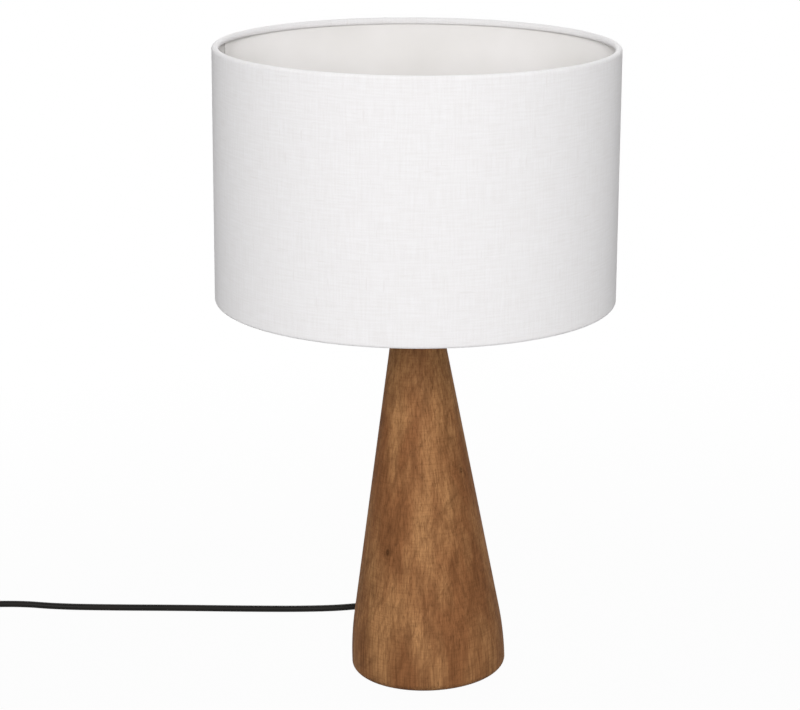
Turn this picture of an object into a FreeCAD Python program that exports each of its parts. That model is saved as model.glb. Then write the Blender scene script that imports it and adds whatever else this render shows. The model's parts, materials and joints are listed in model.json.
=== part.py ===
# Column table lamp: a turned wooden column, a drum shade on a wire spider, a screw-in bulb
# and a cord with a hand switch and a flat two-pin plug.
#
# Millimetres, +Z up. The origin is the centre of the face that the lamp stands on.
# +Y points to the back, where the cord leaves the column, and the cord runs off to -X.

import FreeCAD, Part

import math
import os

V = FreeCAD.Vector
UP = V(0, 0, 1)
BACK = V(0, 1, 0)
RIGHT = V(1, 0, 0)

# Clearances
SLIDE = 0.05  # radial play of a thread, a shaft or a cord in its hole
GLUE = 0.05  # space that the glue fills between two laminated layers
SOFT = 0.3  # space round a soft piece
PRESSED = 0.1  # radial space round a pressed-in or dropped-in piece
LOOSE = 0.6  # space beside a piece that bends to fit, such as tape or a rolled edge

# Wooden column
COLUMN_HEIGHT = 254.0
COLUMN_FOOT_RADIUS = 55.3
COLUMN_TOP_RADIUS = 17.95
COLUMN_FLARE = 225.0  # radius of the long curve that takes the straight side into the foot
FOOT_ROUND_HEIGHT = 7.5
FOOT_ROUND_WIDTH = 12.0
COLUMN_EDGE = 1.0  # rounding of the top edge
CAVITY_RADIUS = 24.0
CAVITY_DEPTH = 43.0

# Felt pad under the column
PAD_THICKNESS = 3.0
PAD_PROUD = 1.0
PAD_RADIUS = 40.0

# Threaded tube through the column, and what clamps it
TUBE_RADIUS = 5.0
TUBE_BORE = 3.8
TUBE_BELOW_NUT = 2.7
TUBE_IN_HOLDER = 11.0
COLUMN_BORE_PLAY = 0.25
WASHER_RADIUS = 15.0
WASHER_THICKNESS = 1.5
LOCK_RADIUS = 8.0
LOCK_THICKNESS = 0.8
LOCK_TEETH = 8
NUT_FLATS = 14.0
NUT_THICKNESS = 4.0
PLATE_RADIUS = 17.0
PLATE_THICKNESS = 2.0

# Cord, and the strain relief where it leaves the column
CORD_DIAMETER = 5.0
EXIT_HEIGHT = 14.0
EXIT_BEND = 18.0  # bend of the cord inside the foot
RELIEF_FLANGE_RADIUS = 6.0
RELIEF_FLANGE = 2.0
RELIEF_NECK_RADIUS = 4.2
RELIEF_NECK = 14.0
RELIEF_TAIL = 24.0
RELIEF_TAIL_START = 4.8
RELIEF_TAIL_END = 3.4
RELIEF_RINGS = 5
RELIEF_RING_WIDTH = 1.4
RELIEF_RING_DEPTH = 0.5
SPOT_DEPTH = 1.5  # the flange's flat seat lies this far inside the column's surface

# Lampholder
HOLDER_CAP_HEIGHT = 26.0
HOLDER_LIP = 0.75  # the cap stands this far outside the skirt's thread
HOLDER_WALL = 2.0
BOSS_RADIUS = 9.0
BOSS_HEIGHT = 13.0
BOSS_COLLAR = 5.0
HOLDER_RIM = 6.0  # straight rim of the cap, below the joint
SPIGOT = 4.0
SKIRT_BELOW_SEAT = 11.0
SKIRT_ABOVE_SEAT = 24.0
SKIRT_WALL = 2.3
SHOULDER_WIDTH = 3.25
SHOULDER_THICKNESS = 2.5
INSERT_WALL = 3.2
INSERT_FLOOR = 6.0
SLEEVE_STEP = 4.0
SLEEVE_WALL = 0.5
SLEEVE_DROP = 2.0  # the sleeve's top lies this far below the skirt's rim
SET_SCREW_RADIUS = 1.5
TERMINAL_SIZE = 6.0
TERMINAL_OFFSET = 9.0
TERMINAL_SCREW_RADIUS = 1.4
TERMINAL_HEAD_RADIUS = 2.2
TERMINAL_HEAD = 2.0
CORE_RADIUS = 1.0
CORE_OFFSET = 1.2
CONTACT_WIDTH = 5.0
CONTACT_THICKNESS = 0.5
CONTACT_LENGTH = 11.0

# Bulb
BULB_CAP_RADIUS = 13.3
BULB_CAP_HEIGHT = 24.0
BULB_CAP_WALL = 0.6
BULB_CONTACT_RADIUS = 5.0
BULB_CONTACT_THICKNESS = 1.5
BULB_INSULATOR_HEIGHT = 3.5
BULB_COLLAR_HEIGHT = 42.0
BULB_COLLAR_LIP = 0.6
BULB_RADIUS = 30.0
BULB_JOINT_RADIUS = 27.5
BULB_SPIGOT = 18.0
BULB_THREAD_PLAY = 0.25

# Shade
SHADE_RADIUS = 140.0
SHADE_HEIGHT = 178.3
SHADE_DROP = 17.8  # its lower rim lies this far below the middle of the fitter ring
SHADE_LEAN = 2.23  # degrees that the drum stands out of square with the column
COVER_THICKNESS = 0.5
LINING_THICKNESS = 0.6
WIRE_DIAMETER = 2.5
ROLLED_EDGE = 255.0  # degrees that the cover's edge is rolled round its wire
SEAM_ANGLE = 164.0
SEAM_WIDTH = 9.0
SEAM_THICKNESS = 0.5
FITTER_HOLE_PLAY = 0.45
FITTER_WIDTH = 6.8
FITTER_THICKNESS = 1.5
SPIDER_ARMS = 3
FIRST_ARM = 30.0
ARM_DIAMETER = 3.0
SHADE_RING_HEIGHT = 12.0
SHADE_RING_WALL = 4.0
SHADE_RING_FLANGE = 2.5
SHADE_RING_GRIPS = 24
GRIP_RADIUS = 1.0

# Hand switch in the cord
SWITCH_LENGTH = 60.0
SWITCH_NOSE = 4.0
SWITCH_NOSE_RADIUS = 5.0
SWITCH_WIDTH = 27.0
SWITCH_HEIGHT = 17.0
SWITCH_WALL = 1.8
SWITCH_CORNER = 5.0
SWITCH_EDGE = 1.5
ROCKER_RADIUS = 10.0
ROCKER_WIDTH = 11.0
ROCKER_TRAVEL = 12.0
ROCKER_RAISED = 30.0  # angle of its raised end above the pivot
ROCKER_SINK = 4.0  # the pivot lies this far below the cover's top
ROCKER_CROWN = 0.3
ROCKER_UNDERSIDE = 20.0
ROCKER_PLAY = 0.25
TRUNNION_RADIUS = 1.5
TRUNNION_LENGTH = 2.5
BEARING_LENGTH = 7.0
SCREW_RADIUS = 1.45
SCREW_HEAD_RADIUS = 2.75
SCREW_HEAD = 2.0
SCREW_LENGTH = 12.0
SCREW_SPACING = 40.0
SCREW_BOSS_RADIUS = 3.2
SCREW_PILLAR_RADIUS = 4.6  # the base's pillars run into its end walls
STRIP_OFFSET = 8.0
STRIP_WIDTH = 4.0
STRIP_LENGTH = 7.0
STRIP_HEIGHT = 3.2

# Flat plug
PLUG_LENGTH = 36.0
PLUG_TAIL = 13.0
PLUG_WIDTH = 35.3
PLUG_THICKNESS = 13.7
PLUG_TAIL_RADIUS = 4.2
PLUG_NOSE_WIDTH = 26.0
PLUG_EDGE = 2.0
PIN_SPACING = 18.6
PIN_LENGTH = 19.0
PIN_RADIUS = 2.0
PIN_ROOT = 8.0
PIN_SLEEVE = 10.0
PIN_SLEEVE_WALL = 0.4

# Put-away coil of the cord
COIL_TURNS = 7
COIL_LAYERS = 4
COIL_MIDDLE_RADIUS = 27.5
COIL_PITCH = 5.55
COIL_LIFT = 1.15  # the coil lies on its tie
TIE_WIDTH = 10.0
TIE_THICKNESS = 0.8
TIE_ANGLE = 0.0

# Heights that follow
UNDERSIDE = PAD_PROUD
COLUMN_TOP = UNDERSIDE + COLUMN_HEIGHT
CEILING = UNDERSIDE + CAVITY_DEPTH
HOLDER_FOOT = COLUMN_TOP + PLATE_THICKNESS
HOLDER_JOINT = HOLDER_FOOT + HOLDER_CAP_HEIGHT
SEAT = HOLDER_JOINT + SKIRT_BELOW_SEAT
SKIRT_TOP = SEAT + SKIRT_ABOVE_SEAT
INSERT_TOP = HOLDER_JOINT + INSERT_FLOOR
SLEEVE_FOOT = INSERT_TOP + SLEEVE_STEP
TUBE_TOP = HOLDER_FOOT + TUBE_IN_HOLDER
NUT_FOOT = CEILING - WASHER_THICKNESS - LOCK_THICKNESS - NUT_THICKNESS
TUBE_FOOT = NUT_FOOT - TUBE_BELOW_NUT
LEAD_TOP = TUBE_TOP + 1.0
PIVOT = SEAT + FITTER_THICKNESS / 2  # the drum leans about this height

# Radii and places that follow
SLEEVE_RADIUS = BULB_CAP_RADIUS + BULB_THREAD_PLAY + SLEEVE_WALL
INSERT_BORE = SLEEVE_RADIUS + PRESSED
INSERT_RADIUS = INSERT_BORE + INSERT_WALL
SKIRT_BORE = INSERT_RADIUS + PRESSED
SKIRT_RADIUS = SKIRT_BORE + SKIRT_WALL
SHOULDER_RADIUS = SKIRT_RADIUS + SHOULDER_WIDTH
HOLDER_CAP_RADIUS = SKIRT_RADIUS + HOLDER_LIP
BULB_FOOT = SLEEVE_FOOT - 2.0
BULB_CAP_FOOT = BULB_FOOT + BULB_CONTACT_THICKNESS + BULB_INSULATOR_HEIGHT
BULB_CAP_TOP = BULB_CAP_FOOT + BULB_CAP_HEIGHT
BULB_JOINT = BULB_CAP_TOP + BULB_COLLAR_HEIGHT
FITTER_HOLE = SKIRT_RADIUS + FITTER_HOLE_PLAY
FITTER_RADIUS = FITTER_HOLE + FITTER_WIDTH
WIRE_RADIUS = WIRE_DIAMETER / 2
ROLL_INSIDE = WIRE_RADIUS + LOOSE
ROLL_OUTSIDE = ROLL_INSIDE + COVER_THICKNESS
RING_RADIUS = SHADE_RADIUS - ROLL_OUTSIDE
SHADE_FOOT = -SHADE_DROP
SHADE_TOP = SHADE_FOOT + SHADE_HEIGHT
CORD_RADIUS = CORD_DIAMETER / 2
SPOT_PLANE = COLUMN_FOOT_RADIUS - SPOT_DEPTH
RELIEF_END = SPOT_PLANE + RELIEF_FLANGE + RELIEF_TAIL
COIL_LAYER = CORD_RADIUS + COIL_LIFT
COIL_SPREAD = COIL_PITCH * COIL_TURNS / COIL_LAYERS
COIL_OUTER = COIL_MIDDLE_RADIUS + COIL_SPREAD / 2
SWITCH_AXIS = SWITCH_HEIGHT / 2
PLUG_AXIS = PLUG_THICKNESS / 2

# Routes of the cord on the floor, chosen by hand
SWITCH_PLACE = V(-375.0, 136.0, SWITCH_AXIS)
COIL_PLACE = V(-446.9 + COIL_OUTER, 75.0, COIL_LAYER)
PLUG_PLACE = V(-400.0, 9.0, PLUG_AXIS)
COIL_EDGE = COIL_PLACE.x - COIL_OUTER
COIL_TOP_LAYER = COIL_LAYER + COIL_PITCH * (COIL_LAYERS - 1)

LEAD_ROUTE = [
    V(0, RELIEF_END, EXIT_HEIGHT),
    V(0, 97, EXIT_HEIGHT),
    V(-10, 118, 8.5),
    V(-33, 130, 3.6),
    V(-60, 126.5, 2.5),
    V(-92, 122.3, 2.5),
    V(-140, 126, 2.5),
    V(-195, 133, 2.5),
    V(-248, 137.2, 3.0),
    V(-290, 137.4, 5.4),
    V(-320, 136, SWITCH_AXIS),
    V(SWITCH_PLACE.x + SWITCH_LENGTH / 2, 136, SWITCH_AXIS),
]
TAIL_ROUTE = [
    V(SWITCH_PLACE.x - SWITCH_LENGTH / 2, 136, SWITCH_AXIS),
    V(-423, 136, SWITCH_AXIS),
    V(-437.7, 127.5, 7.0),
    V(-446.2, 112.8, 5.0),
    V(COIL_EDGE, 96, COIL_LAYER),
    V(COIL_EDGE, COIL_PLACE.y + CORD_DIAMETER, COIL_LAYER),
]
PLUG_ROUTE = [
    V(COIL_EDGE, COIL_PLACE.y - CORD_DIAMETER, COIL_TOP_LAYER),
    V(COIL_EDGE, 53, COIL_TOP_LAYER),
    V(-443.5, 35, 14.5),
    V(-433, 19, 9.0),
    V(-417, 9, PLUG_AXIS),
    V(PLUG_PLACE.x, 9, PLUG_AXIS),
]


def save(name, *solids):
    """Writes one sub-part, a single solid or a group of them."""
    shape = solids[0] if len(solids) == 1 else Part.makeCompound(list(solids))
    shape.exportStep(f"parts/{name}.step")
    return shape


def cylinder(radius, foot, top, x=0.0, y=0.0):
    return Part.makeCylinder(radius, top - foot, V(x, y, foot))


def ring(inside, outside, foot, top):
    return cylinder(outside, foot, top).cut(cylinder(inside, foot, top))


def rod(radius, start, end):
    """A round rod between two points."""
    return Part.makeCylinder(radius, (end - start).Length, start, end - start)


def block(width, depth, height, centre):
    """A box round its centre."""
    corner = centre - V(width / 2, depth / 2, height / 2)
    return Part.makeBox(width, depth, height, corner)


def outline(points):
    """Straight edges through points of radius and height."""
    places = [V(radius, 0, height) for radius, height in points]
    return [Part.LineSegment(a, b).toShape() for a, b in zip(places, places[1:])]


def turned(edges):
    """The solid that a closed half outline in the XZ plane makes round the Z axis."""
    face = Part.Face(Part.Wire(Part.__sortEdges__(edges)))
    return face.revolve(V(0, 0, 0), UP, 360)


def turned_outline(points):
    return turned(outline(points + points[:1]))


def arc_about(radius, height, size, first, last):
    """An arc in the XZ plane, by its centre, its radius and its two angles in degrees."""
    at = [math.radians(first + (last - first) * share) for share in (0, 0.5, 1)]
    ends = [V(radius + size * math.cos(a), 0, height + size * math.sin(a)) for a in at]
    return Part.Arc(*ends).toShape()


def rounded_bar(length, width, height, corner):
    """A bar along X with upright rounded corners, centred on X and Y, from the floor up."""
    bar = block(length, width, height, V(0, 0, height / 2))
    upright = [e for e in bar.Edges if abs(e.tangentAt(e.FirstParameter).z) > 0.99]
    return bar.makeFillet(corner, upright)


def edges_at(shape, height):
    """The edges of a shape that lie flat at one height."""
    box = [e for e in shape.Edges if abs(e.BoundBox.ZMin - height) < 1e-4]
    return [e for e in box if abs(e.BoundBox.ZMax - height) < 1e-4]


def moved(shape, place):
    copy = shape.copy()
    copy.translate(place)
    return copy


def leaning(shape):
    """Takes a shape of the drum from its own axis to its place on the lamp."""
    copy = shape.copy()
    copy.rotate(V(0, 0, 0), BACK, SHADE_LEAN)
    copy.translate(V(0, 0, PIVOT))
    return copy


# The cord's tubes


def middle_of_arc(start, way, end):
    """The middle of the arc that leaves start along way and ends at end."""
    chord = end - start
    along = chord / chord.Length
    aside = way - along * way.dot(along)
    if aside.Length < 1e-9:
        return (start + end) * 0.5
    half_turn = way.getAngle(along)
    return (start + end) * 0.5 + aside.normalize() * (chord.Length / 2 * math.tan(half_turn / 2))


def rounded_route(name, points):
    """Straight runs through the points, joined by tangent arcs. Prints the arcs' radii."""
    edges, radii, last = [], [], points[0]
    for before, corner, after in zip(points, points[1:], points[2:]):
        way_in, way_out = (corner - before).normalize(), (after - corner).normalize()
        reach = 0.45 * min((corner - before).Length, (after - corner).Length)
        radii.append(reach / math.tan(way_in.getAngle(way_out) / 2))
        start, end = corner - way_in * reach, corner + way_out * reach
        edges.append(Part.LineSegment(last, start).toShape())
        edges.append(Part.Arc(start, middle_of_arc(start, way_in, end), end).toShape())
        last = end
    edges.append(Part.LineSegment(last, points[-1]).toShape())
    print(name, "radii", [round(r, 1) for r in radii])
    return Part.Wire(edges)


def tube(name, wire, radius):
    """A round tube along a wire. Prints how its volume compares with section times length."""
    first = wire.Edges[0]
    start, way = first.valueAt(first.FirstParameter), first.tangentAt(first.FirstParameter)
    section = Part.Wire(Part.Circle(start, way, radius).toShape())
    solid = wire.makePipeShell([section], True, False)
    share = solid.Volume / (math.pi * radius**2 * wire.Length)
    print(name, "length", round(wire.Length, 1), "volume share", round(share, 4))
    return solid


def biarc(start, way, end, end_way):
    """Two tangent arcs that leave start along way and reach end along end_way."""
    across, both = end - start, way + end_way
    bend = 2 * (1 - way.dot(end_way))
    along = across.dot(both)
    reach = (math.sqrt(along**2 + bend * across.dot(across)) - along) / bend
    joint = (start + end + (way - end_way) * reach) * 0.5
    first = Part.Arc(start, middle_of_arc(start, way, joint), joint)
    second = Part.Arc(joint, middle_of_arc(end, end_way * -1, joint), end)
    return [first.toShape(), second.toShape()]


def coil_station(quarter):
    """The place and the way of the coil's cord after so many quarter turns."""
    per_layer = 4 * COIL_TURNS // COIL_LAYERS
    layer, into = divmod(quarter, per_layer)
    turning = into == 0 and 0 < quarter < 4 * COIL_TURNS
    inward = layer % 2 == 0
    share = into / per_layer
    radius = COIL_OUTER - COIL_SPREAD * (share if inward else 1 - share)
    slope = 0.0 if turning else COIL_PITCH / (2 * math.pi) * (-1 if inward else 1)
    climbing = 1.5 * COIL_PITCH / math.pi if turning else 0.0
    climbed = min(layer, COIL_LAYERS - 1) - (0.5 if turning else 0.0)
    if quarter in (0, 4 * COIL_TURNS):
        radius, slope = COIL_OUTER, 0.0
    angle = math.pi + quarter * math.pi / 2
    out, ahead = V(math.cos(angle), math.sin(angle), 0), V(-math.sin(angle), math.cos(angle), 0)
    place = COIL_PLACE + out * radius + UP * (COIL_PITCH * climbed)
    way = ahead * radius + out * slope + UP * climbing
    return place, way.normalize()


def coil_wire():
    """The coil's centreline, with a straight end of one diameter at each end."""
    stations = [coil_station(quarter) for quarter in range(4 * COIL_TURNS + 1)]
    (first, first_way), (last, last_way) = stations[0], stations[-1]
    edges = [Part.LineSegment(first - first_way * CORD_DIAMETER, first).toShape()]
    for (start, way), (end, end_way) in zip(stations, stations[1:]):
        edges += biarc(start, way, end, end_way)
    edges.append(Part.LineSegment(last, last + last_way * CORD_DIAMETER).toShape())
    return Part.Wire(edges)


def least_gap(wire):
    """The least gap between stretches of the cord at least half a turn apart."""
    points = wire.discretize(Distance=2.0)
    apart = int(math.pi * COIL_MIDDLE_RADIUS / 2.0)
    nearest = min(
        a.distanceToPoint(b) for i, a in enumerate(points) for b in points[i + apart :]
    )
    return nearest - CORD_DIAMETER


# Column and what is clamped in it


def column_outline():
    """The half outline: flat underside, rounded foot, long flare, straight side, top."""
    foot_z = UNDERSIDE + FOOT_ROUND_HEIGHT
    flat = COLUMN_FOOT_RADIUS - FOOT_ROUND_WIDTH
    round_off = 0.5523  # handle length that makes a Bezier quarter follow an ellipse
    poles = [
        V(flat, 0, UNDERSIDE),
        V(flat + FOOT_ROUND_WIDTH * round_off, 0, UNDERSIDE),
        V(COLUMN_FOOT_RADIUS, 0, foot_z - FOOT_ROUND_HEIGHT * round_off),
        V(COLUMN_FOOT_RADIUS, 0, foot_z),
    ]
    foot = Part.BezierCurve()
    foot.setPoles(poles)
    centre = COLUMN_FOOT_RADIUS - COLUMN_FLARE
    away = math.hypot(COLUMN_TOP_RADIUS - centre, COLUMN_TOP - foot_z)
    to_top = math.atan2(COLUMN_TOP - foot_z, COLUMN_TOP_RADIUS - centre)
    leaves = math.degrees(to_top - math.acos(COLUMN_FLARE / away))
    flare = arc_about(centre, foot_z, COLUMN_FLARE, 0, leaves)
    leave = flare.Vertexes[-1].Point
    rest = [(leave.x, leave.z), (COLUMN_TOP_RADIUS, COLUMN_TOP), (0, COLUMN_TOP)]
    rest += [(0, UNDERSIDE), (flat, UNDERSIDE)]
    return outline(rest) + [foot.toShape(), flare]


def wood_column():
    wood = turned(column_outline())
    wood = wood.makeFillet(COLUMN_EDGE, edges_at(wood, COLUMN_TOP))
    recess = cylinder(PAD_RADIUS, UNDERSIDE, PAD_THICKNESS)
    cavity = cylinder(CAVITY_RADIUS, UNDERSIDE, CEILING)
    bore = cylinder(TUBE_RADIUS + COLUMN_BORE_PLAY, CEILING, COLUMN_TOP)
    hole_start, outside = V(0, 0, EXIT_HEIGHT), V(0, COLUMN_FOOT_RADIUS * 1.2, EXIT_HEIGHT)
    hole = rod(RELIEF_NECK_RADIUS, hole_start, outside)
    spot = rod(RELIEF_FLANGE_RADIUS + SOFT, V(0, SPOT_PLANE, EXIT_HEIGHT), outside)
    return wood.cut([recess, cavity, bore, hole, spot])


def base_pad():
    return cylinder(PAD_RADIUS - SOFT, 0, PAD_THICKNESS)


def threaded_tube():
    return ring(TUBE_BORE, TUBE_RADIUS - SLIDE, TUBE_FOOT, TUBE_TOP)


def base_washer():
    return ring(TUBE_RADIUS, WASHER_RADIUS, CEILING - WASHER_THICKNESS, CEILING)


def lock_washer():
    top = CEILING - WASHER_THICKNESS
    foot = top - LOCK_THICKNESS
    washer = ring(TUBE_RADIUS, LOCK_RADIUS, foot, top)
    notches = []
    for tooth in range(LOCK_TEETH):
        angle = 2 * math.pi * tooth / LOCK_TEETH
        x, y = LOCK_RADIUS * math.cos(angle), LOCK_RADIUS * math.sin(angle)
        notches.append(cylinder(LOCK_RADIUS / LOCK_TEETH, foot, top, x, y))
    return washer.cut(notches)


def base_nut():
    corner = NUT_FLATS / math.sqrt(3)
    corners = [
        V(corner * math.cos(math.radians(60 * k)), corner * math.sin(math.radians(60 * k)), NUT_FOOT)
        for k in range(7)
    ]
    hexagon = Part.Face(Part.makePolygon(corners)).extrude(UP * NUT_THICKNESS)
    return hexagon.cut(cylinder(TUBE_RADIUS, NUT_FOOT, NUT_FOOT + NUT_THICKNESS))


def column_plate():
    return ring(TUBE_RADIUS, PLATE_RADIUS, COLUMN_TOP, HOLDER_FOOT)


def strain_relief():
    """The tapered sleeve, turned about its own axis and laid along +Y."""
    neck, flange = -RELIEF_NECK, RELIEF_FLANGE
    end = flange + RELIEF_TAIL
    bore = CORD_RADIUS + SLIDE
    neck_radius = RELIEF_NECK_RADIUS - PRESSED
    body = turned_outline(
        [
            (bore, neck),
            (neck_radius, neck),
            (neck_radius, 0),
            (RELIEF_FLANGE_RADIUS, 0),
            (RELIEF_FLANGE_RADIUS, flange),
            (RELIEF_TAIL_START, flange),
            (RELIEF_TAIL_END, end),
            (bore, end),
        ]
    )
    step = RELIEF_TAIL / (RELIEF_RINGS + 1)
    taper = (RELIEF_TAIL_START - RELIEF_TAIL_END) / RELIEF_TAIL
    for k in range(RELIEF_RINGS):
        foot = flange + step * (k + 0.7)
        surface = RELIEF_TAIL_START - taper * (foot - flange)
        groove = ring(surface - RELIEF_RING_DEPTH, surface + 1, foot, foot + RELIEF_RING_WIDTH)
        body = body.cut(groove)
    body.rotate(V(0, 0, 0), RIGHT, -90)
    return moved(body, V(0, SPOT_PLANE, EXIT_HEIGHT))


def inner_lead():
    """The cord inside the lamp: through the strain relief, round a bend and up the tube."""
    outside, inside = V(0, RELIEF_END, EXIT_HEIGHT), V(0, EXIT_BEND, EXIT_HEIGHT)
    up = V(0, 0, EXIT_HEIGHT + EXIT_BEND)
    bend = Part.Arc(inside, middle_of_arc(inside, V(0, -1, 0), up), up)
    edges = [Part.LineSegment(outside, inside), bend, Part.LineSegment(up, V(0, 0, LEAD_TOP))]
    return tube("inner_lead", Part.Wire([e.toShape() for e in edges]), CORD_RADIUS)


# Lampholder


def holder_cap():
    """The domed lower half, with the threaded boss that the tube screws into."""
    inside = HOLDER_CAP_RADIUS - HOLDER_WALL
    collar = HOLDER_FOOT + BOSS_COLLAR
    boss = HOLDER_FOOT + BOSS_HEIGHT
    rim = HOLDER_JOINT - HOLDER_RIM
    cap = turned_outline(
        [
            (TUBE_RADIUS, HOLDER_FOOT),
            (BOSS_RADIUS, HOLDER_FOOT),
            (BOSS_RADIUS, collar),
            (BOSS_RADIUS + HOLDER_WALL, collar),
            (HOLDER_CAP_RADIUS, rim),
            (HOLDER_CAP_RADIUS, HOLDER_JOINT),
            (inside, HOLDER_JOINT),
            (inside, rim),
            (BOSS_RADIUS, boss),
            (TUBE_RADIUS, boss),
        ]
    )
    return cap.cut(set_screw_body(SLIDE))


def set_screw_body(play):
    height = HOLDER_FOOT + BOSS_COLLAR / 2
    return rod(SET_SCREW_RADIUS + play, V(0, -TUBE_RADIUS, height), V(0, -BOSS_RADIUS - play, height))


def holder_skirt():
    """The threaded upper half, with the shoulder that carries the shade."""
    spigot = HOLDER_CAP_RADIUS - HOLDER_WALL - PRESSED
    return turned_outline(
        [
            (SKIRT_BORE, HOLDER_JOINT - SPIGOT),
            (spigot, HOLDER_JOINT - SPIGOT),
            (spigot, HOLDER_JOINT),
            (HOLDER_CAP_RADIUS, HOLDER_JOINT),
            (HOLDER_CAP_RADIUS, SEAT - SHOULDER_THICKNESS),
            (SHOULDER_RADIUS, SEAT - SHOULDER_THICKNESS),
            (SHOULDER_RADIUS, SEAT),
            (SKIRT_RADIUS, SEAT),
            (SKIRT_RADIUS, SKIRT_TOP),
            (SKIRT_BORE, SKIRT_TOP),
        ]
    )


def holder_insert():
    """The ceramic cup that carries the contacts."""
    step = BULB_CAP_RADIUS - BULB_CAP_WALL
    return turned_outline(
        [
            (0, HOLDER_JOINT),
            (INSERT_RADIUS, HOLDER_JOINT),
            (INSERT_RADIUS, SKIRT_TOP - SLEEVE_DROP),
            (INSERT_BORE, SKIRT_TOP - SLEEVE_DROP),
            (INSERT_BORE, SLEEVE_FOOT),
            (step, SLEEVE_FOOT),
            (step, INSERT_TOP),
            (0, INSERT_TOP),
        ]
    )


def contact_sleeve():
    return ring(SLEEVE_RADIUS - SLEEVE_WALL, SLEEVE_RADIUS, SLEEVE_FOOT, SKIRT_TOP - SLEEVE_DROP)


def centre_contact():
    """A bent brass tongue, flat on the insert and raised under the bulb."""
    rise = BULB_FOOT - INSERT_TOP
    end, thick = CONTACT_LENGTH - BULB_CONTACT_RADIUS / 2, CONTACT_THICKNESS
    lower = [(-end, 0), (-end + 3, 0), (-2.5, rise - thick), (2.5, rise - thick)]
    upper = [(2.5, rise), (-2.5 - thick / 2, rise), (-end + 3 - thick / 2, thick), (-end, thick)]
    corners = [V(x, -CONTACT_WIDTH / 2, INSERT_TOP + z) for x, z in lower + upper + lower[:1]]
    return Part.Face(Part.makePolygon(corners)).extrude(BACK * CONTACT_WIDTH)


def terminal_screw(side):
    centre = V(side * TERMINAL_OFFSET, 0, HOLDER_JOINT - TERMINAL_SIZE / 2)
    face = centre - BACK * (TERMINAL_SIZE / 2)
    shank = rod(TERMINAL_SCREW_RADIUS, face, centre)
    return shank.fuse(rod(TERMINAL_HEAD_RADIUS, face - BACK * TERMINAL_HEAD, face)).removeSplitter()


def terminal_block(side):
    """A brass block under the insert, drilled for its screw."""
    centre = V(side * TERMINAL_OFFSET, 0, HOLDER_JOINT - TERMINAL_SIZE / 2)
    body = block(TERMINAL_SIZE, TERMINAL_SIZE, TERMINAL_SIZE, centre)
    return body.cut(rod(TERMINAL_SCREW_RADIUS + SLIDE, centre - BACK * TERMINAL_SIZE, centre))


def core_wire(side):
    foot, top = LEAD_TOP, HOLDER_JOINT - TERMINAL_SIZE
    straight = (top - foot) * 0.3
    inner, outer = side * CORE_OFFSET, side * TERMINAL_OFFSET
    points = [V(inner, 0, foot), V(inner, 0, foot + straight)]
    points += [V(outer, 0, top - straight), V(outer, 0, top)]
    return tube("core", rounded_route("core", points), CORE_RADIUS)


# Bulb


def bulb_contact():
    return cylinder(BULB_CONTACT_RADIUS, BULB_FOOT, BULB_FOOT + BULB_CONTACT_THICKNESS)


def bulb_insulator():
    foot = BULB_FOOT + BULB_CONTACT_THICKNESS
    wide = BULB_CAP_RADIUS - BULB_CAP_WALL
    return Part.makeCone(BULB_CONTACT_RADIUS, wide, BULB_INSULATOR_HEIGHT, V(0, 0, foot))


def bulb_cap():
    return ring(BULB_CAP_RADIUS - BULB_CAP_WALL, BULB_CAP_RADIUS, BULB_CAP_FOOT, BULB_CAP_TOP)


def bulb_collar():
    """The housing between the screw cap and the dome, flaring in one long curve."""
    spigot = BULB_CAP_RADIUS - BULB_CAP_WALL - PRESSED
    collar_foot = BULB_CAP_RADIUS + BULB_COLLAR_LIP
    start, end = V(collar_foot, 0, BULB_CAP_TOP), V(BULB_JOINT_RADIUS, 0, BULB_JOINT)
    middle = middle_of_arc(start, V(0.15, 0, 1).normalize(), end)
    flare = Part.Arc(start, middle, end).toShape()
    foot = BULB_CAP_TOP - BULB_SPIGOT
    points = [(BULB_JOINT_RADIUS, BULB_JOINT), (0, BULB_JOINT), (0, foot), (spigot, foot)]
    points += [(spigot, BULB_CAP_TOP), (collar_foot, BULB_CAP_TOP)]
    return turned([flare] + outline(points))


def bulb_dome():
    """The opal dome: most of a ball, closed where it meets the housing."""
    drop = math.sqrt(BULB_RADIUS**2 - BULB_JOINT_RADIUS**2)
    centre = BULB_JOINT + drop
    start = -math.degrees(math.asin(drop / BULB_RADIUS))
    top = centre + BULB_RADIUS
    edges = outline([(0, top), (0, BULB_JOINT), (BULB_JOINT_RADIUS, BULB_JOINT)])
    return turned(edges + [arc_about(0, centre, BULB_RADIUS, start, 90)])


# Shade


def shade_ring():
    """The threaded ring that clamps the shade, with grip flutes round its rim."""
    foot = SEAT + FITTER_THICKNESS
    inside, outside = SKIRT_RADIUS + PRESSED, SKIRT_RADIUS + PRESSED + SHADE_RING_WALL
    body = ring(inside, outside, foot, foot + SHADE_RING_HEIGHT)
    flange = ring(inside, FITTER_RADIUS, foot, foot + SHADE_RING_FLANGE)
    flutes = []
    for k in range(SHADE_RING_GRIPS):
        angle = 2 * math.pi * k / SHADE_RING_GRIPS
        x, y = (outside + GRIP_RADIUS / 2) * math.cos(angle), (outside + GRIP_RADIUS / 2) * math.sin(angle)
        flutes.append(cylinder(GRIP_RADIUS, foot + SHADE_RING_FLANGE, foot + SHADE_RING_HEIGHT, x, y))
    return body.cut(flutes).fuse(flange).removeSplitter()


def fitter_ring():
    return ring(FITTER_HOLE, FITTER_RADIUS, SEAT, SEAT + FITTER_THICKNESS)


def wire_ring(height):
    return leaning(Part.makeTorus(RING_RADIUS, WIRE_RADIUS, V(0, 0, height)))


def bottom_wire_ring():
    return wire_ring(SHADE_FOOT + ROLL_OUTSIDE)


def top_wire_ring():
    return wire_ring(SHADE_TOP - ROLL_OUTSIDE)


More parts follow.
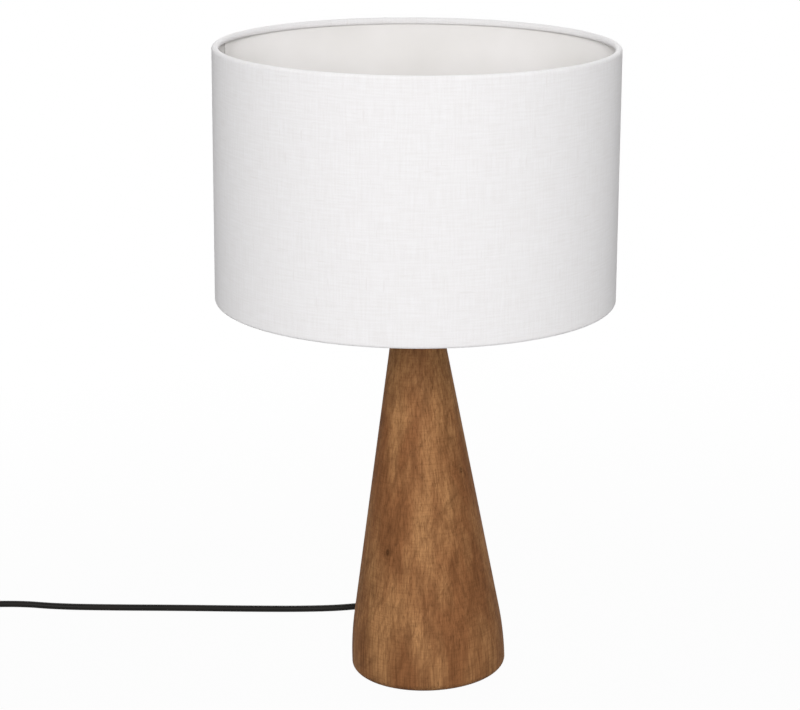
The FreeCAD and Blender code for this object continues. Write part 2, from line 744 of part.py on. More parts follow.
def arm_rod(number, radius):
    """One straight arm of the spider, from the fitter ring to the middle of the lower wire."""
    angle = math.radians(FIRST_ARM + 360 / SPIDER_ARMS * number)
    out = V(math.cos(angle), math.sin(angle), 0)
    end = Part.Vertex(out * RING_RADIUS + UP * (SHADE_FOOT + ROLL_OUTSIDE))
    return rod(radius, out * (FITTER_RADIUS - ARM_DIAMETER) + UP * PIVOT, leaning(end).Point)


def spider_arm(number):
    """An arm that butts against the fitter ring's edge and saddles the lower wire."""
    inside = cylinder(FITTER_RADIUS, SEAT - ARM_DIAMETER, SEAT + 2 * ARM_DIAMETER)
    return arm_rod(number, ARM_DIAMETER / 2).cut([inside, bottom_wire_ring()])


def shade_cover():
    """The fabric drum, its two edges rolled round their wires, slit where the arms pass."""
    inside = SHADE_RADIUS - COVER_THICKNESS
    low, high = SHADE_FOOT + ROLL_OUTSIDE, SHADE_TOP - ROLL_OUTSIDE
    edges = outline([(SHADE_RADIUS, low), (SHADE_RADIUS, high)])
    edges += outline([(inside, low), (inside, high)])
    for height, turn in ((high, ROLLED_EDGE), (low, -ROLLED_EDGE)):
        outer = arc_about(RING_RADIUS, height, ROLL_OUTSIDE, 0, turn)
        inner = arc_about(RING_RADIUS, height, ROLL_INSIDE, 0, turn)
        ends = [edge.valueAt(edge.LastParameter) for edge in (outer, inner)]
        edges += [outer, inner, Part.LineSegment(*ends).toShape()]
    drum = leaning(turned(edges))
    slits = [arm_rod(number, ARM_DIAMETER / 2 + SOFT) for number in range(SPIDER_ARMS)]
    return drum.cut(slits)


def lining_ends():
    """The lining's lower and upper edge, clear of the rolled edges of the cover."""
    tucked = 2 * ROLL_OUTSIDE + PRESSED
    return SHADE_FOOT + tucked, SHADE_TOP - tucked


def shade_lining():
    outside = SHADE_RADIUS - COVER_THICKNESS - GLUE
    return leaning(ring(outside - LINING_THICKNESS, outside, *lining_ends()))


def seam_strip():
    """The strip that joins the lining's two ends on the inside."""
    outside = SHADE_RADIUS - COVER_THICKNESS - GLUE - LINING_THICKNESS - LOOSE
    band = ring(outside - SEAM_THICKNESS, outside, *lining_ends())
    foot, top = lining_ends()
    slab = block(2 * SHADE_RADIUS, SEAM_WIDTH, top - foot, V(SHADE_RADIUS, 0, (foot + top) / 2))
    slab.rotate(V(0, 0, 0), UP, SEAM_ANGLE)
    return leaning(band.common(slab))


# Hand switch, made about its own middle on the floor and then moved


def switch_shell(foot, top):
    """The outside of the switch between two heights, with the nose at each end."""
    long = SWITCH_LENGTH - 2 * SWITCH_NOSE
    body = rounded_bar(long, SWITCH_WIDTH, SWITCH_HEIGHT, SWITCH_CORNER)
    body = body.makeFillet(SWITCH_EDGE, edges_at(body, SWITCH_HEIGHT) + edges_at(body, 0))
    middle = SWITCH_LENGTH / 2
    nose = rod(SWITCH_NOSE_RADIUS, V(-middle, 0, SWITCH_AXIS), V(middle, 0, SWITCH_AXIS))
    half = block(2 * SWITCH_LENGTH, 2 * SWITCH_WIDTH, top - foot, V(0, 0, (foot + top) / 2))
    return body.fuse(nose).removeSplitter().common(half)


def switch_hollow():
    long = SWITCH_LENGTH - 2 * SWITCH_NOSE - 2 * SWITCH_WALL
    bar = rounded_bar(
        long, SWITCH_WIDTH - 2 * SWITCH_WALL, SWITCH_HEIGHT - 2 * SWITCH_WALL, SWITCH_CORNER - SWITCH_WALL
    )
    return moved(bar, V(0, 0, SWITCH_WALL))


def screw_places():
    return [V(side * SCREW_SPACING / 2, 0, 0) for side in (-1, 1)]


def switch_base():
    shell = switch_shell(0, SWITCH_AXIS).cut(switch_hollow())
    for at in screw_places():
        pillar = cylinder(SCREW_PILLAR_RADIUS, SWITCH_WALL, SWITCH_AXIS, at.x, at.y)
        shell = shell.fuse(pillar)
        shell = shell.cut(cylinder(SCREW_RADIUS + SLIDE, 0, SWITCH_AXIS, at.x, at.y))
        shell = shell.cut(cylinder(SCREW_HEAD_RADIUS + PRESSED, 0, SCREW_HEAD + 0.4, at.x, at.y))
    return shell.removeSplitter()


def switch_screw(at):
    foot = 0.4
    head = cylinder(SCREW_HEAD_RADIUS, foot, SCREW_HEAD + foot, at.x, at.y)
    shank = cylinder(SCREW_RADIUS, SCREW_HEAD + foot, SCREW_HEAD + foot + SCREW_LENGTH, at.x, at.y)
    slot = block(2 * SCREW_HEAD_RADIUS, 0.8, 0.8, at + UP * (foot + 0.4))
    return head.fuse(shank).removeSplitter().cut(slot)


def rocker_pivot():
    return SWITCH_HEIGHT - ROCKER_SINK


def switch_cover():
    """The upper half, with the rocker's window, its two bearings and the screw pillars."""
    shell = switch_shell(SWITCH_AXIS, SWITCH_HEIGHT).cut(switch_hollow())
    inside = SWITCH_WIDTH / 2 - SWITCH_WALL
    ceiling = SWITCH_HEIGHT - SWITCH_WALL
    start = ROCKER_WIDTH / 2 + ROCKER_PLAY
    for side in (-1, 1):
        middle = V(0, side * (start + inside) / 2, (SWITCH_AXIS + ceiling) / 2)
        shell = shell.fuse(block(BEARING_LENGTH, inside - start, ceiling - SWITCH_AXIS, middle))
    for at in screw_places():
        shell = shell.fuse(cylinder(SCREW_BOSS_RADIUS, SWITCH_AXIS, ceiling, at.x, at.y))
        shell = shell.cut(cylinder(SCREW_RADIUS + SLIDE, SWITCH_AXIS, SCREW_LENGTH + 3, at.x, at.y))
    window = block(2 * (ROCKER_RADIUS + ROCKER_PLAY), 2 * start, SWITCH_WALL * 3, V(0, 0, SWITCH_HEIGHT))
    reach = start + TRUNNION_LENGTH
    bearing = rod(TRUNNION_RADIUS + SLIDE, V(0, -reach, rocker_pivot()), V(0, reach, rocker_pivot()))
    return shell.cut([window, bearing]).removeSplitter()


def switch_rocker():
    """The rocker at rest, switched off: round ends about its pivot, a shallow vee on top."""
    raised, sunk = math.radians(ROCKER_RAISED), math.radians(180 - ROCKER_RAISED + ROCKER_TRAVEL)
    low = math.radians(ROCKER_UNDERSIDE)

    def at(angle):
        return V(ROCKER_RADIUS * math.cos(angle), 0, ROCKER_RADIUS * math.sin(angle))

    crown = V(0, 0, ROCKER_SINK + ROCKER_CROWN)
    right = Part.Arc(at(raised), at((raised - low) / 2), at(-low)).toShape()
    left = Part.Arc(at(sunk), at((sunk + math.pi + low) / 2), at(math.pi + low)).toShape()
    lines = [(at(raised), crown), (crown, at(sunk)), (at(-low), at(math.pi + low))]
    edges = [right, left] + [Part.LineSegment(a, b).toShape() for a, b in lines]
    face = Part.Face(Part.Wire(Part.__sortEdges__(edges)))
    body = moved(face, V(0, -ROCKER_WIDTH / 2, 0)).extrude(BACK * ROCKER_WIDTH)
    reach = ROCKER_WIDTH / 2 + TRUNNION_LENGTH
    pin = rod(TRUNNION_RADIUS, V(0, -reach, 0), V(0, reach, 0))
    return moved(body.fuse(pin).removeSplitter(), V(0, 0, rocker_pivot()))


def switch_strip(side):
    """A brass contact strip on the floor of the base, turned up at its inner end."""
    foot = V(side * (STRIP_LENGTH + 1) / 2, -STRIP_OFFSET, SWITCH_WALL + 0.5)
    flat = block(STRIP_LENGTH, STRIP_WIDTH, 1, foot)
    inner = V(side * 1.0, -STRIP_OFFSET, SWITCH_WALL + STRIP_HEIGHT / 2)
    return flat.fuse(block(1, STRIP_WIDTH, STRIP_HEIGHT, inner)).removeSplitter()


def switch_wires():
    """One core runs straight through, the other ends at a strip on each side."""
    wall = SWITCH_LENGTH / 2 - SWITCH_NOSE - SWITCH_WALL - SOFT
    height = SWITCH_WALL + 1 + CORE_RADIUS
    through = rod(CORE_RADIUS, V(-wall, STRIP_OFFSET, height), V(wall, STRIP_OFFSET, height))
    start = STRIP_LENGTH / 2
    left = rod(CORE_RADIUS, V(-wall, -STRIP_OFFSET, height), V(-start, -STRIP_OFFSET, height))
    right = rod(CORE_RADIUS, V(start, -STRIP_OFFSET, height), V(wall, -STRIP_OFFSET, height))
    return [through, left, right]


def on_cord(shape):
    return moved(shape, V(SWITCH_PLACE.x, SWITCH_PLACE.y, 0))


# Plug, made along +X from the cord's end


def plug_body():
    """A flat body that narrows to its pin face, with a round tail for the cord."""
    deep, half = PLUG_LENGTH - PLUG_TAIL, PLUG_THICKNESS / 2
    wide, nose = PLUG_WIDTH / 2, PLUG_NOSE_WIDTH / 2
    shoulder = PLUG_TAIL + deep * 0.35
    points = [(PLUG_TAIL, nose / 2), (shoulder, wide), (PLUG_LENGTH - 5, wide), (PLUG_LENGTH, nose)]
    points += [(x, -y) for x, y in reversed(points)]
    corners = [V(x, y, -half) for x, y in points + points[:1]]
    flat = Part.Face(Part.makePolygon(corners)).extrude(UP * PLUG_THICKNESS)
    flat = flat.makeFillet(PLUG_EDGE, edges_at(flat, half) + edges_at(flat, -half))
    tail = Part.makeCone(PLUG_TAIL_RADIUS, half - PLUG_EDGE, PLUG_TAIL + 4, V(0, 0, 0), RIGHT)
    body = flat.fuse(tail).removeSplitter()
    return body.cut([pin_hole(side) for side in (-1, 1)])


def pin_ends(side):
    y = side * PIN_SPACING / 2
    return V(PLUG_LENGTH - PIN_ROOT, y, 0), V(PLUG_LENGTH + PIN_LENGTH, y, 0)


def pin_hole(side):
    return rod(PIN_RADIUS, *pin_ends(side))


def plug_pin(side):
    """A round pin with a domed tip and a neck that its insulating sleeve fills."""
    start, end = pin_ends(side)
    pin = rod(PIN_RADIUS, start, end)
    pin = pin.makeFillet(PIN_RADIUS * 0.6, [e for e in pin.Edges if e.BoundBox.XMin > end.x - 1e-4])
    return pin.cut(pin_sleeve(side))


def pin_sleeve(side):
    y = side * PIN_SPACING / 2
    start, end = V(PLUG_LENGTH, y, 0), V(PLUG_LENGTH + PIN_SLEEVE, y, 0)
    return rod(PIN_RADIUS, start, end).cut(rod(PIN_RADIUS - PIN_SLEEVE_WALL, start, end))


def on_plug(shape):
    return moved(shape, PLUG_PLACE)


def cord_tie():
    """A flat strap round the bundle, from the floor up."""
    inner = COIL_MIDDLE_RADIUS - COIL_SPREAD / 2 - CORD_RADIUS
    sagitta = inner - math.sqrt(inner**2 - (TIE_WIDTH / 2) ** 2)
    near, far = inner - sagitta - SOFT, COIL_OUTER + CORD_RADIUS + SOFT
    low, high = TIE_THICKNESS, COIL_TOP_LAYER + CORD_RADIUS + SOFT
    space = block(far - near, TIE_WIDTH, high - low, V((near + far) / 2, 0, (low + high) / 2))
    thick = 2 * TIE_THICKNESS
    strap = block(
        far - near + thick, TIE_WIDTH, high - low + thick, V((near + far) / 2, 0, (low + high) / 2)
    )
    along = [e for e in strap.Edges if abs(e.tangentAt(e.FirstParameter).y) > 0.99]
    loop = strap.makeFillet(thick, along).cut(space)
    loop.rotate(V(0, 0, 0), UP, TIE_ANGLE)
    return moved(loop, V(COIL_PLACE.x, COIL_PLACE.y, 0))


def main():
    os.makedirs("parts", exist_ok=True)
    sides = (-1, 1)

    save("wood_column", wood_column())
    save("base_pad", base_pad())
    save("threaded_tube", threaded_tube())
    save("base_washer", base_washer())
    save("lock_washer", lock_washer())
    save("base_nut", base_nut())
    save("column_plate", column_plate())
    save("strain_relief", strain_relief())
    save("inner_lead", inner_lead())

    save("holder_cap", holder_cap())
    save("cap_set_screw", set_screw_body(0))
    save("holder_skirt", holder_skirt())
    save("holder_insert", holder_insert())
    save("contact_sleeve", contact_sleeve())
    save("centre_contact", centre_contact())
    save("terminal_blocks", *[terminal_block(side) for side in sides])
    save("terminal_screws", *[terminal_screw(side) for side in sides])
    save("core_wires", *[core_wire(side) for side in sides])

    save("bulb_contact", bulb_contact())
    save("bulb_insulator", bulb_insulator())
    save("bulb_cap", bulb_cap())
    save("bulb_collar", bulb_collar())
    save("bulb_dome", bulb_dome())

    save("shade_ring", shade_ring())
    save("fitter_ring", fitter_ring())
    save("spider_arms", *[spider_arm(number) for number in range(SPIDER_ARMS)])
    save("bottom_wire_ring", bottom_wire_ring())
    save("top_wire_ring", top_wire_ring())
    save("shade_cover", shade_cover())
    save("shade_lining", shade_lining())
    save("seam_strip", seam_strip())

    save("switch_base", on_cord(switch_base()))
    save("switch_cover", on_cord(switch_cover()))
    save("switch_rocker", on_cord(switch_rocker()))
    save("switch_screws", *[on_cord(switch_screw(at)) for at in screw_places()])
    save("switch_strips", *[on_cord(switch_strip(side)) for side in sides])
    save("switch_wires", *[on_cord(wire) for wire in switch_wires()])

    save("plug_body", on_plug(plug_body()))
    save("plug_pins", *[on_plug(plug_pin(side)) for side in sides])
    save("pin_sleeves", *[on_plug(pin_sleeve(side)) for side in sides])

    save("cord_lead", tube("cord_lead", rounded_route("cord_lead", LEAD_ROUTE), CORD_RADIUS))
    save("cord_tail", tube("cord_tail", rounded_route("cord_tail", TAIL_ROUTE), CORD_RADIUS))
    save("plug_lead", tube("plug_lead", rounded_route("plug_lead", PLUG_ROUTE), CORD_RADIUS))
    coil = coil_wire()
    print("cord_coil least gap to itself", round(least_gap(coil), 3))
    save("cord_coil", tube("cord_coil", coil, CORD_RADIUS))
    save("cord_tie", cord_tie())


main()
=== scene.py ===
"""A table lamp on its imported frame: turned wooden column, fabric drum shade, cord with switch and plug.

Metres, +Z up, the origin on the face that the lamp stands on, +Y to the back.
"""

import json
import logging
import math
from collections.abc import Sequence
from dataclasses import dataclass, field
from enum import Enum
from typing import Any

import bmesh
import bpy
from mathutils import Matrix, Vector

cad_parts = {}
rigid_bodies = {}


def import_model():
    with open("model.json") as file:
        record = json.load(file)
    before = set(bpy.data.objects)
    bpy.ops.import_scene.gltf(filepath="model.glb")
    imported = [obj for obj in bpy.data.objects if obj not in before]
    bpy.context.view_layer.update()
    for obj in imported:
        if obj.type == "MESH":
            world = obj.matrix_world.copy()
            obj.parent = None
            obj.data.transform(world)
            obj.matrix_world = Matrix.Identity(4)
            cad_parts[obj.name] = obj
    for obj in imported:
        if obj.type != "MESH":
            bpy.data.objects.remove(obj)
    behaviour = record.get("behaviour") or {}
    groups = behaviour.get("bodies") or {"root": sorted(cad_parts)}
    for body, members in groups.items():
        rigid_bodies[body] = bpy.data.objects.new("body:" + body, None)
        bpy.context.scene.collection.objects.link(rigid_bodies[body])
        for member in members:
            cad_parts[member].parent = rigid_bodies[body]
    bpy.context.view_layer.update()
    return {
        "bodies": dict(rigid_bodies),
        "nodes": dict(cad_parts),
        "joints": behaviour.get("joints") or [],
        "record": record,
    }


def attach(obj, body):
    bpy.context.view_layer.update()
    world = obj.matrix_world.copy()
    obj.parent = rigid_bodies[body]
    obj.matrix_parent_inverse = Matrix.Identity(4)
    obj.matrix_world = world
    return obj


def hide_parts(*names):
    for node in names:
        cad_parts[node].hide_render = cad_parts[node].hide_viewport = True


LOG = logging.getLogger("table_lamp")
MM = 0.001
SEAM = 1e-6  # points nearer than this are one
THREAD_STEPS = 10  # parts of one ripple of a thread
CRISP = 35.0  # corners sharper than this many degrees stay crisp
Point = tuple[float, float, float]
Station = tuple[float, float]


class Body(Enum):
    """The bodies of the frame that carry pieces made here."""

    COLUMN = "column"
    SHADE = "shade"
    BULB = "bulb"


class Slot(Enum):
    """The record's material slots."""

    WOOD = "stained_wood"
    FELT = "felt"
    PLATED_STEEL = "plated_steel"
    SCREW_STEEL = "screw_steel"
    HOLDER_PLASTIC = "holder_plastic"
    CERAMIC = "holder_ceramic"
    BRASS = "contact_brass"
    JACKET = "cord_jacket"
    CORE = "core_insulation"
    SPIDER = "spider_paint"
    FABRIC = "shade_fabric"
    LINING = "shade_lining"
    OPAL = "bulb_opal"
    HOUSING = "bulb_housing"
    CAP_METAL = "bulb_cap_metal"
    VITRITE = "bulb_insulation"
    SWITCH = "switch_plastic"
    ROCKER = "rocker_plastic"
    PLUG = "plug_plastic"
    PIN = "pin_metal"
    STRAP = "tie_strap"


class Space(Enum):
    """Where a pattern takes its coordinates from."""

    OBJECT = "Object"
    UV = "UV"


class Working(Enum):
    """How a metal surface was finished."""

    PLATED = "plated"
    STAMPED = "stamped"
    TURNED = "turned"


# Node helpers


def linear(code: str) -> tuple[float, float, float, float]:
    """Turns an sRGB hex value to linear red, green, blue and alpha.

    Args:
        code: six hex digits after a hash.

    Returns:
        The colour as a Blender socket takes it.
    """
    parts = [int(code[i : i + 2], 16) / 255 for i in (1, 3, 5)]
    red, green, blue = (c / 12.92 if c <= 0.04045 else ((c + 0.055) / 1.055) ** 2.4 for c in parts)
    return red, green, blue, 1.0


def add(
    tree: bpy.types.NodeTree,
    kind: str,
    inputs: dict[str | int, Any] | None = None,
    out: str | int = 0,
    **settings: Any,
) -> bpy.types.NodeSocket | None:
    """Adds a node with its settings and feeds its sockets.

    Args:
        tree: the shader or geometry tree.
        kind: the node's type.
        inputs: a value or another node's output for each named or numbered socket.
        out: the output to give back.
        settings: the node's own properties.

    Returns:
        The chosen output, or None from a node that has none.
    """
    node = tree.nodes.new(kind)
    for name, value in settings.items():
        setattr(node, name, value)
    for socket, value in (inputs or {}).items():
        if isinstance(value, bpy.types.NodeSocket):
            tree.links.new(value, node.inputs[socket])
        else:
            node.inputs[socket].default_value = value
    return node.outputs[out] if node.outputs else None


def coordinates(
    tree: bpy.types.NodeTree, space: Space, cell: Point, turn: Point = (0, 0, 0), at: Point = (0, 0, 0)
) -> bpy.types.NodeSocket:
    """Coordinates in which one unit is one cell of a pattern.

    Args:
        tree: the material's tree.
        space: object or UV coordinates, both in metres.
        cell: the size of a cell along each axis, in metres.
        turn: the pattern's turn, in degrees.
        at: shifts the pattern, in cells.

    Returns:
        The coordinates' socket.
    """
    source = add(tree, "ShaderNodeTexCoord", out=space.value)
    placed = add(
        tree,
        "ShaderNodeMapping",
        {"Vector": source, "Rotation": [math.radians(a) for a in turn]},
    )
    scale = [1 / size for size in cell]
    return add(tree, "ShaderNodeMapping", {"Vector": placed, "Scale": scale, "Location": at})


def noise(tree: bpy.types.NodeTree, vector: bpy.types.NodeSocket, **values: float) -> bpy.types.NodeSocket:
    """One noise pattern, from 0 to 1, with its named inputs."""
    return add(tree, "ShaderNodeTexNoise", {"Vector": vector, "Scale": 1.0, **values})


def levels(
    tree: bpy.types.NodeTree, value: Any, low: float, high: float, to_low: float = 0.0, to_high: float = 1.0
) -> bpy.types.NodeSocket:
    """Maps a value from one range to another and keeps it in it."""
    named = {"Value": value, "From Min": low, "From Max": high, "To Min": to_low, "To Max": to_high}
    return add(tree, "ShaderNodeMapRange", named)


def sums(tree: bpy.types.NodeTree, operation: str, first: Any, second: Any) -> bpy.types.NodeSocket:
    """One step of arithmetic on two values, such as MULTIPLY."""
    return add(tree, "ShaderNodeMath", {0: first, 1: second}, operation=operation)


def blend(tree: bpy.types.NodeTree, share: Any, first: Any, second: Any) -> bpy.types.NodeSocket:
    """Mixes two colours, each a hex value or an output."""
    first, second = (linear(c) if isinstance(c, str) else c for c in (first, second))
    return add(tree, "ShaderNodeMix", {0: share, 6: first, 7: second}, out=2, data_type="RGBA")


@dataclass
class Dressing:
    """A material in the making: its tree and its principled shader."""

    material: bpy.types.Material
    tree: bpy.types.NodeTree
    shader: bpy.types.Node

    @classmethod
    def begun(cls, name: str, **constants: Any) -> "Dressing":
        """Starts a material whose shader has these constants.

        Args:
            name: the real material's name.
            constants: shader sockets by name, with underscores for spaces.

        Returns:
            The dressing, ready for its patterns.
        """
        material = bpy.data.materials.new(name)
        material.use_nodes = True
        tree = material.node_tree
        shader = next(n for n in tree.nodes if n.type == "BSDF_PRINCIPLED")
        for socket, value in constants.items():
            place = shader.inputs[socket.replace("_", " ")]
            place.default_value = linear(value) if isinstance(value, str) else value
        return cls(material, tree, shader)

    def feed(self, **sockets: bpy.types.NodeSocket) -> None:
        """Links patterns to the shader's sockets."""
        for name, value in sockets.items():
            self.tree.links.new(value, self.shader.inputs[name.replace("_", " ")])

    def raise_by(self, height: bpy.types.NodeSocket, depth: float, strength: float) -> None:
        """Raises the surface by a pattern, to a depth in metres."""
        named = {"Height": height, "Distance": depth, "Strength": strength}
        self.feed(Normal=add(self.tree, "ShaderNodeBump", named))


# Finishes


@dataclass(frozen=True)
class TurnedWood:
    """Hardwood, turned, stained and lacquered satin: fine upright grain under cloudy diagonal figure."""

    name: str = "turned_stained_hardwood"
    light: str = "#bd8a5b"
    middle: str = "#9b6842"
    dark: str = "#5f3b22"
    # darkest tone: open pores and knots, and also the painted shadow line round the foot
    pore_and_painted_shadow: str = "#3d2612"
    roughness: float = 0.6
    duller: float = 0.12  # how much rougher the open grain is
    drift_cell: Point = (0.022, 0.022, 0.085)  # where the stain took more or less
    slant_cell: Point = (0.013, 0.024, 0.050)  # the cloudy diagonal figure
    slant_turn: Point = (0, -30, 0)
    streak_cell: Point = (0.0038, 0.0038, 0.075)
    fibre_cell: Point = (0.0011, 0.0011, 0.045)
    ray_cell: Point = (0.009, 0.009, 0.0011)
    pore_cell: Point = (0.0007, 0.0007, 0.0055)
    slant_share: float = 0.45  # how far each pattern takes the colour to the dark one
    streak_share: float = 0.38
    fibre_share: float = 0.48
    ray_share: float = 0.22
    pore_share: float = 0.4
    knots: tuple[tuple[Point, float], ...] = (
        ((-0.0260, -0.0343, 0.1013), 0.0026),
        ((0.0276, -0.0199, 0.1560), 0.0016),
    )  # the middle and the size of each
    painted_shadow_height: float = 0.0026  # height of the painted shadow line round the foot

    def knotted(
        self,
        tree: bpy.types.NodeTree,
        colour: bpy.types.NodeSocket,
        place: bpy.types.NodeSocket,
        slant: bpy.types.NodeSocket,
    ) -> bpy.types.NodeSocket:
        """Draws each knot as ragged rings round its middle.

        Args:
            tree: the material's tree.
            colour: the wood's colour so far.
            place: object coordinates.
            slant: the pattern that makes the rings ragged.

        Returns:
            The colour with the knots in it.
        """
        for middle, size in self.knots:
            near = add(tree, "ShaderNodeMapping", {"Vector": place, "Location": [-c for c in middle]})
            long = add(tree, "ShaderNodeMapping", {"Vector": near, "Scale": (1, 1, 0.6)})
            away = add(tree, "ShaderNodeVectorMath", {0: long}, out="Value", operation="LENGTH")
            ragged = sums(tree, "ADD", away, sums(tree, "MULTIPLY", slant, size * 1.2))
            ring = sums(tree, "PINGPONG", ragged, size * 0.5)
            shade = levels(tree, ring, 0.0, size * 0.45, 0.8, 0.1)
            inside = levels(tree, away, size * 0.8, size * 1.35, 1.0, 0.0)
            colour = blend(tree, sums(tree, "MULTIPLY", shade, inside), colour, self.pore_and_painted_shadow)
        return colour

    def material(self) -> bpy.types.Material:
        """Builds the material.

        Returns:
            The material, with its patterns.
        """
        d = Dressing.begun(self.name, Specular_IOR_Level=0.06)
        tree = d.tree
        drift = noise(tree, coordinates(tree, Space.OBJECT, self.drift_cell, at=(0, 0, 3)), Detail=2.0)
        slant_space = coordinates(tree, Space.OBJECT, self.slant_cell, turn=self.slant_turn, at=(4, 0, 2))
        slant = noise(tree, slant_space, Detail=5.0, Roughness=0.65, Distortion=1.1)
        streak_space = coordinates(tree, Space.OBJECT, self.streak_cell, at=(2, 5, 1))
        streaks = noise(tree, streak_space, Detail=3.0, Roughness=0.55, Distortion=0.5)
        fibre_space = coordinates(tree, Space.OBJECT, self.fibre_cell)
        fibre = noise(tree, fibre_space, Detail=3.0, Roughness=0.6, Distortion=0.3)
        rays = noise(tree, coordinates(tree, Space.OBJECT, self.ray_cell), Detail=2.0)
        pore_space = coordinates(tree, Space.OBJECT, self.pore_cell)
        pores = levels(tree, noise(tree, pore_space, Detail=1.0), 0.62, 0.74)
        colour = blend(tree, levels(tree, drift, 0.40, 0.62), self.middle, self.light)
        layers = (
            (slant, 0.46, 0.68, self.slant_share),
            (streaks, 0.46, 0.66, self.streak_share),
            (fibre, 0.42, 0.66, self.fibre_share),
            (rays, 0.48, 0.68, self.ray_share),
        )
        for pattern, low, high, share in layers:
            colour = blend(tree, levels(tree, pattern, low, high, 0.0, share), colour, self.dark)
        colour = blend(tree, sums(tree, "MULTIPLY", pores, self.pore_share), colour, self.pore_and_painted_shadow)
        place = add(tree, "ShaderNodeTexCoord", out="Object")
        colour = self.knotted(tree, colour, place, slant)
        height = add(tree, "ShaderNodeSeparateXYZ", {0: place}, out="Z")
        # painted shadow: the wood darkens to the darkest tone in a thin band just above the floor
        painted_foot_shadow = levels(tree, height, self.painted_shadow_height, 1.5 * self.painted_shadow_height, 0.8, 0.0)
        dull = levels(tree, fibre, 0.3, 0.7, self.roughness, self.roughness + self.duller)
        d.feed(Base_Color=blend(tree, painted_foot_shadow, colour, self.pore_and_painted_shadow), Roughness=dull)
        d.raise_by(sums(tree, "SUBTRACT", fibre, pores), 0.00012, 0.35)
        return d.material


@dataclass(frozen=True)
class SlubWeave:
    """Slub-yarn plain weave on a stiff backing: matt, uneven threads both ways and a few thick places."""

    name: str = "slub_weave_on_stiff_backing"
    thread: str = "#efeeef"
    shadow: str = "#e8e6e6"
    pitch: float = 0.0013  # real threads stand 0.6 mm apart, drawn coarser to show
    stretch: float = 0.018  # how far a thread keeps its thickness
    fuzz: float = 0.0007
    upright_slub: Point = (0.0022, 0.016, 1)
    level_slub: Point = (0.014, 0.0020, 1)

    def material(self) -> bpy.types.Material:
        """Builds the material.

        Returns:
            The material, with its patterns.
        """
        d = Dressing.begun(
            self.name,
            Roughness=0.95,
            Diffuse_Roughness=0.45,
            Specular_IOR_Level=0.1,
            Sheen_Weight=0.05,
            Sheen_Roughness=0.5,
        )
        tree = d.tree
        warp = noise(tree, coordinates(tree, Space.UV, (self.pitch, self.stretch, 1)), Detail=2.0)
        weft = noise(tree, coordinates(tree, Space.UV, (self.stretch, self.pitch, 1)), Detail=2.0)
        fine = noise(tree, coordinates(tree, Space.UV, (self.fuzz, self.fuzz, 1)), Detail=1.0)
        weave = sums(tree, "ADD", sums(tree, "ADD", warp, weft), sums(tree, "MULTIPLY", fine, 0.6))
        upright = noise(tree, coordinates(tree, Space.UV, self.upright_slub, at=(7, 3, 0)), Detail=0.0)
        level = noise(tree, coordinates(tree, Space.UV, self.level_slub, at=(1, 9, 0)), Detail=0.0)
        slub = levels(tree, sums(tree, "MAXIMUM", upright, level), 0.76, 0.86)
        share = levels(tree, weave, 0.95, 1.65)
        share = sums(tree, "MAXIMUM", share, sums(tree, "MULTIPLY", slub, 1.6))
        d.feed(Base_Color=blend(tree, share, self.thread, self.shadow))
        d.raise_by(sums(tree, "SUBTRACT", slub, weave), 0.00010, 0.4)
        return d.material


@dataclass(frozen=True)
class MattFilm:
    """White film that backs the fabric: smooth and matt, the weave hardly showing through."""

    name: str = "matt_white_film"
    colour: str = "#efedec"
    worn: str = "#e8e6e4"
    cloud: Point = (0.06, 0.06, 1)
    show_through: Point = (0.0014, 0.012, 1)

    def material(self) -> bpy.types.Material:
        """Builds the material.

        Returns:
            The material, with its patterns.
        """
        d = Dressing.begun(self.name, Specular_IOR_Level=0.3, Diffuse_Roughness=0.6)
        tree = d.tree
        cloud = noise(tree, coordinates(tree, Space.UV, self.cloud), Detail=3.0)
        shown = noise(tree, coordinates(tree, Space.UV, self.show_through), Detail=1.0)
        d.feed(
            Base_Color=blend(tree, levels(tree, cloud, 0.3, 0.7), self.colour, self.worn),
            Roughness=levels(tree, cloud, 0.3, 0.7, 0.55, 0.7),
        )
        d.raise_by(shown, 0.00002, 0.2)
        return d.material


@dataclass(frozen=True)
class MouldedPlastic:
    """Injection-moulded plastic: even colour with a fine spark-eroded grain and slight handling shine."""

    name: str
    colour: str
    roughness: float = 0.45
    grain: float = 0.0006
    depth: float = 0.00004
    handled: float = 0.012  # size of the places that hands have smoothed

    def material(self) -> bpy.types.Material:
        """Builds the material.

        Returns:
            The material, with its patterns.
        """
        d = Dressing.begun(self.name, Base_Color=self.colour, IOR=1.5)
        tree = d.tree
        grain = noise(tree, coordinates(tree, Space.OBJECT, (self.grain,) * 3), Detail=2.0)
        wear = noise(tree, coordinates(tree, Space.OBJECT, (self.handled,) * 3), Detail=3.0)
        low, high = self.roughness - 0.06, self.roughness + 0.08
        d.feed(Roughness=levels(tree, wear, 0.3, 0.7, low, high))
        d.raise_by(grain, self.depth, 0.5)
        return d.material


@dataclass(frozen=True)
class Metal:
    """Bare or plated metal: bright, with faint working marks and a cloudy film."""

    name: str
    colour: str
    roughness: float = 0.3
    working: Working = Working.PLATED

    def material(self) -> bpy.types.Material:
        """Builds the material.

        Returns:
            The material, with its patterns.
        """
        d = Dressing.begun(self.name, Base_Color=self.colour, Metallic=1.0)
        tree = d.tree
        cell = {
            Working.PLATED: (0.003, 0.003, 0.003),
            Working.STAMPED: (0.004, 0.0004, 0.0004),
            Working.TURNED: (0.006, 0.006, 0.0002),
        }[self.working]
        marks = noise(tree, coordinates(tree, Space.OBJECT, cell), Detail=2.0)
        d.feed(Roughness=levels(tree, marks, 0.3, 0.7, self.roughness - 0.08, self.roughness + 0.1))
        d.raise_by(marks, 0.00002, 0.4)
        return d.material


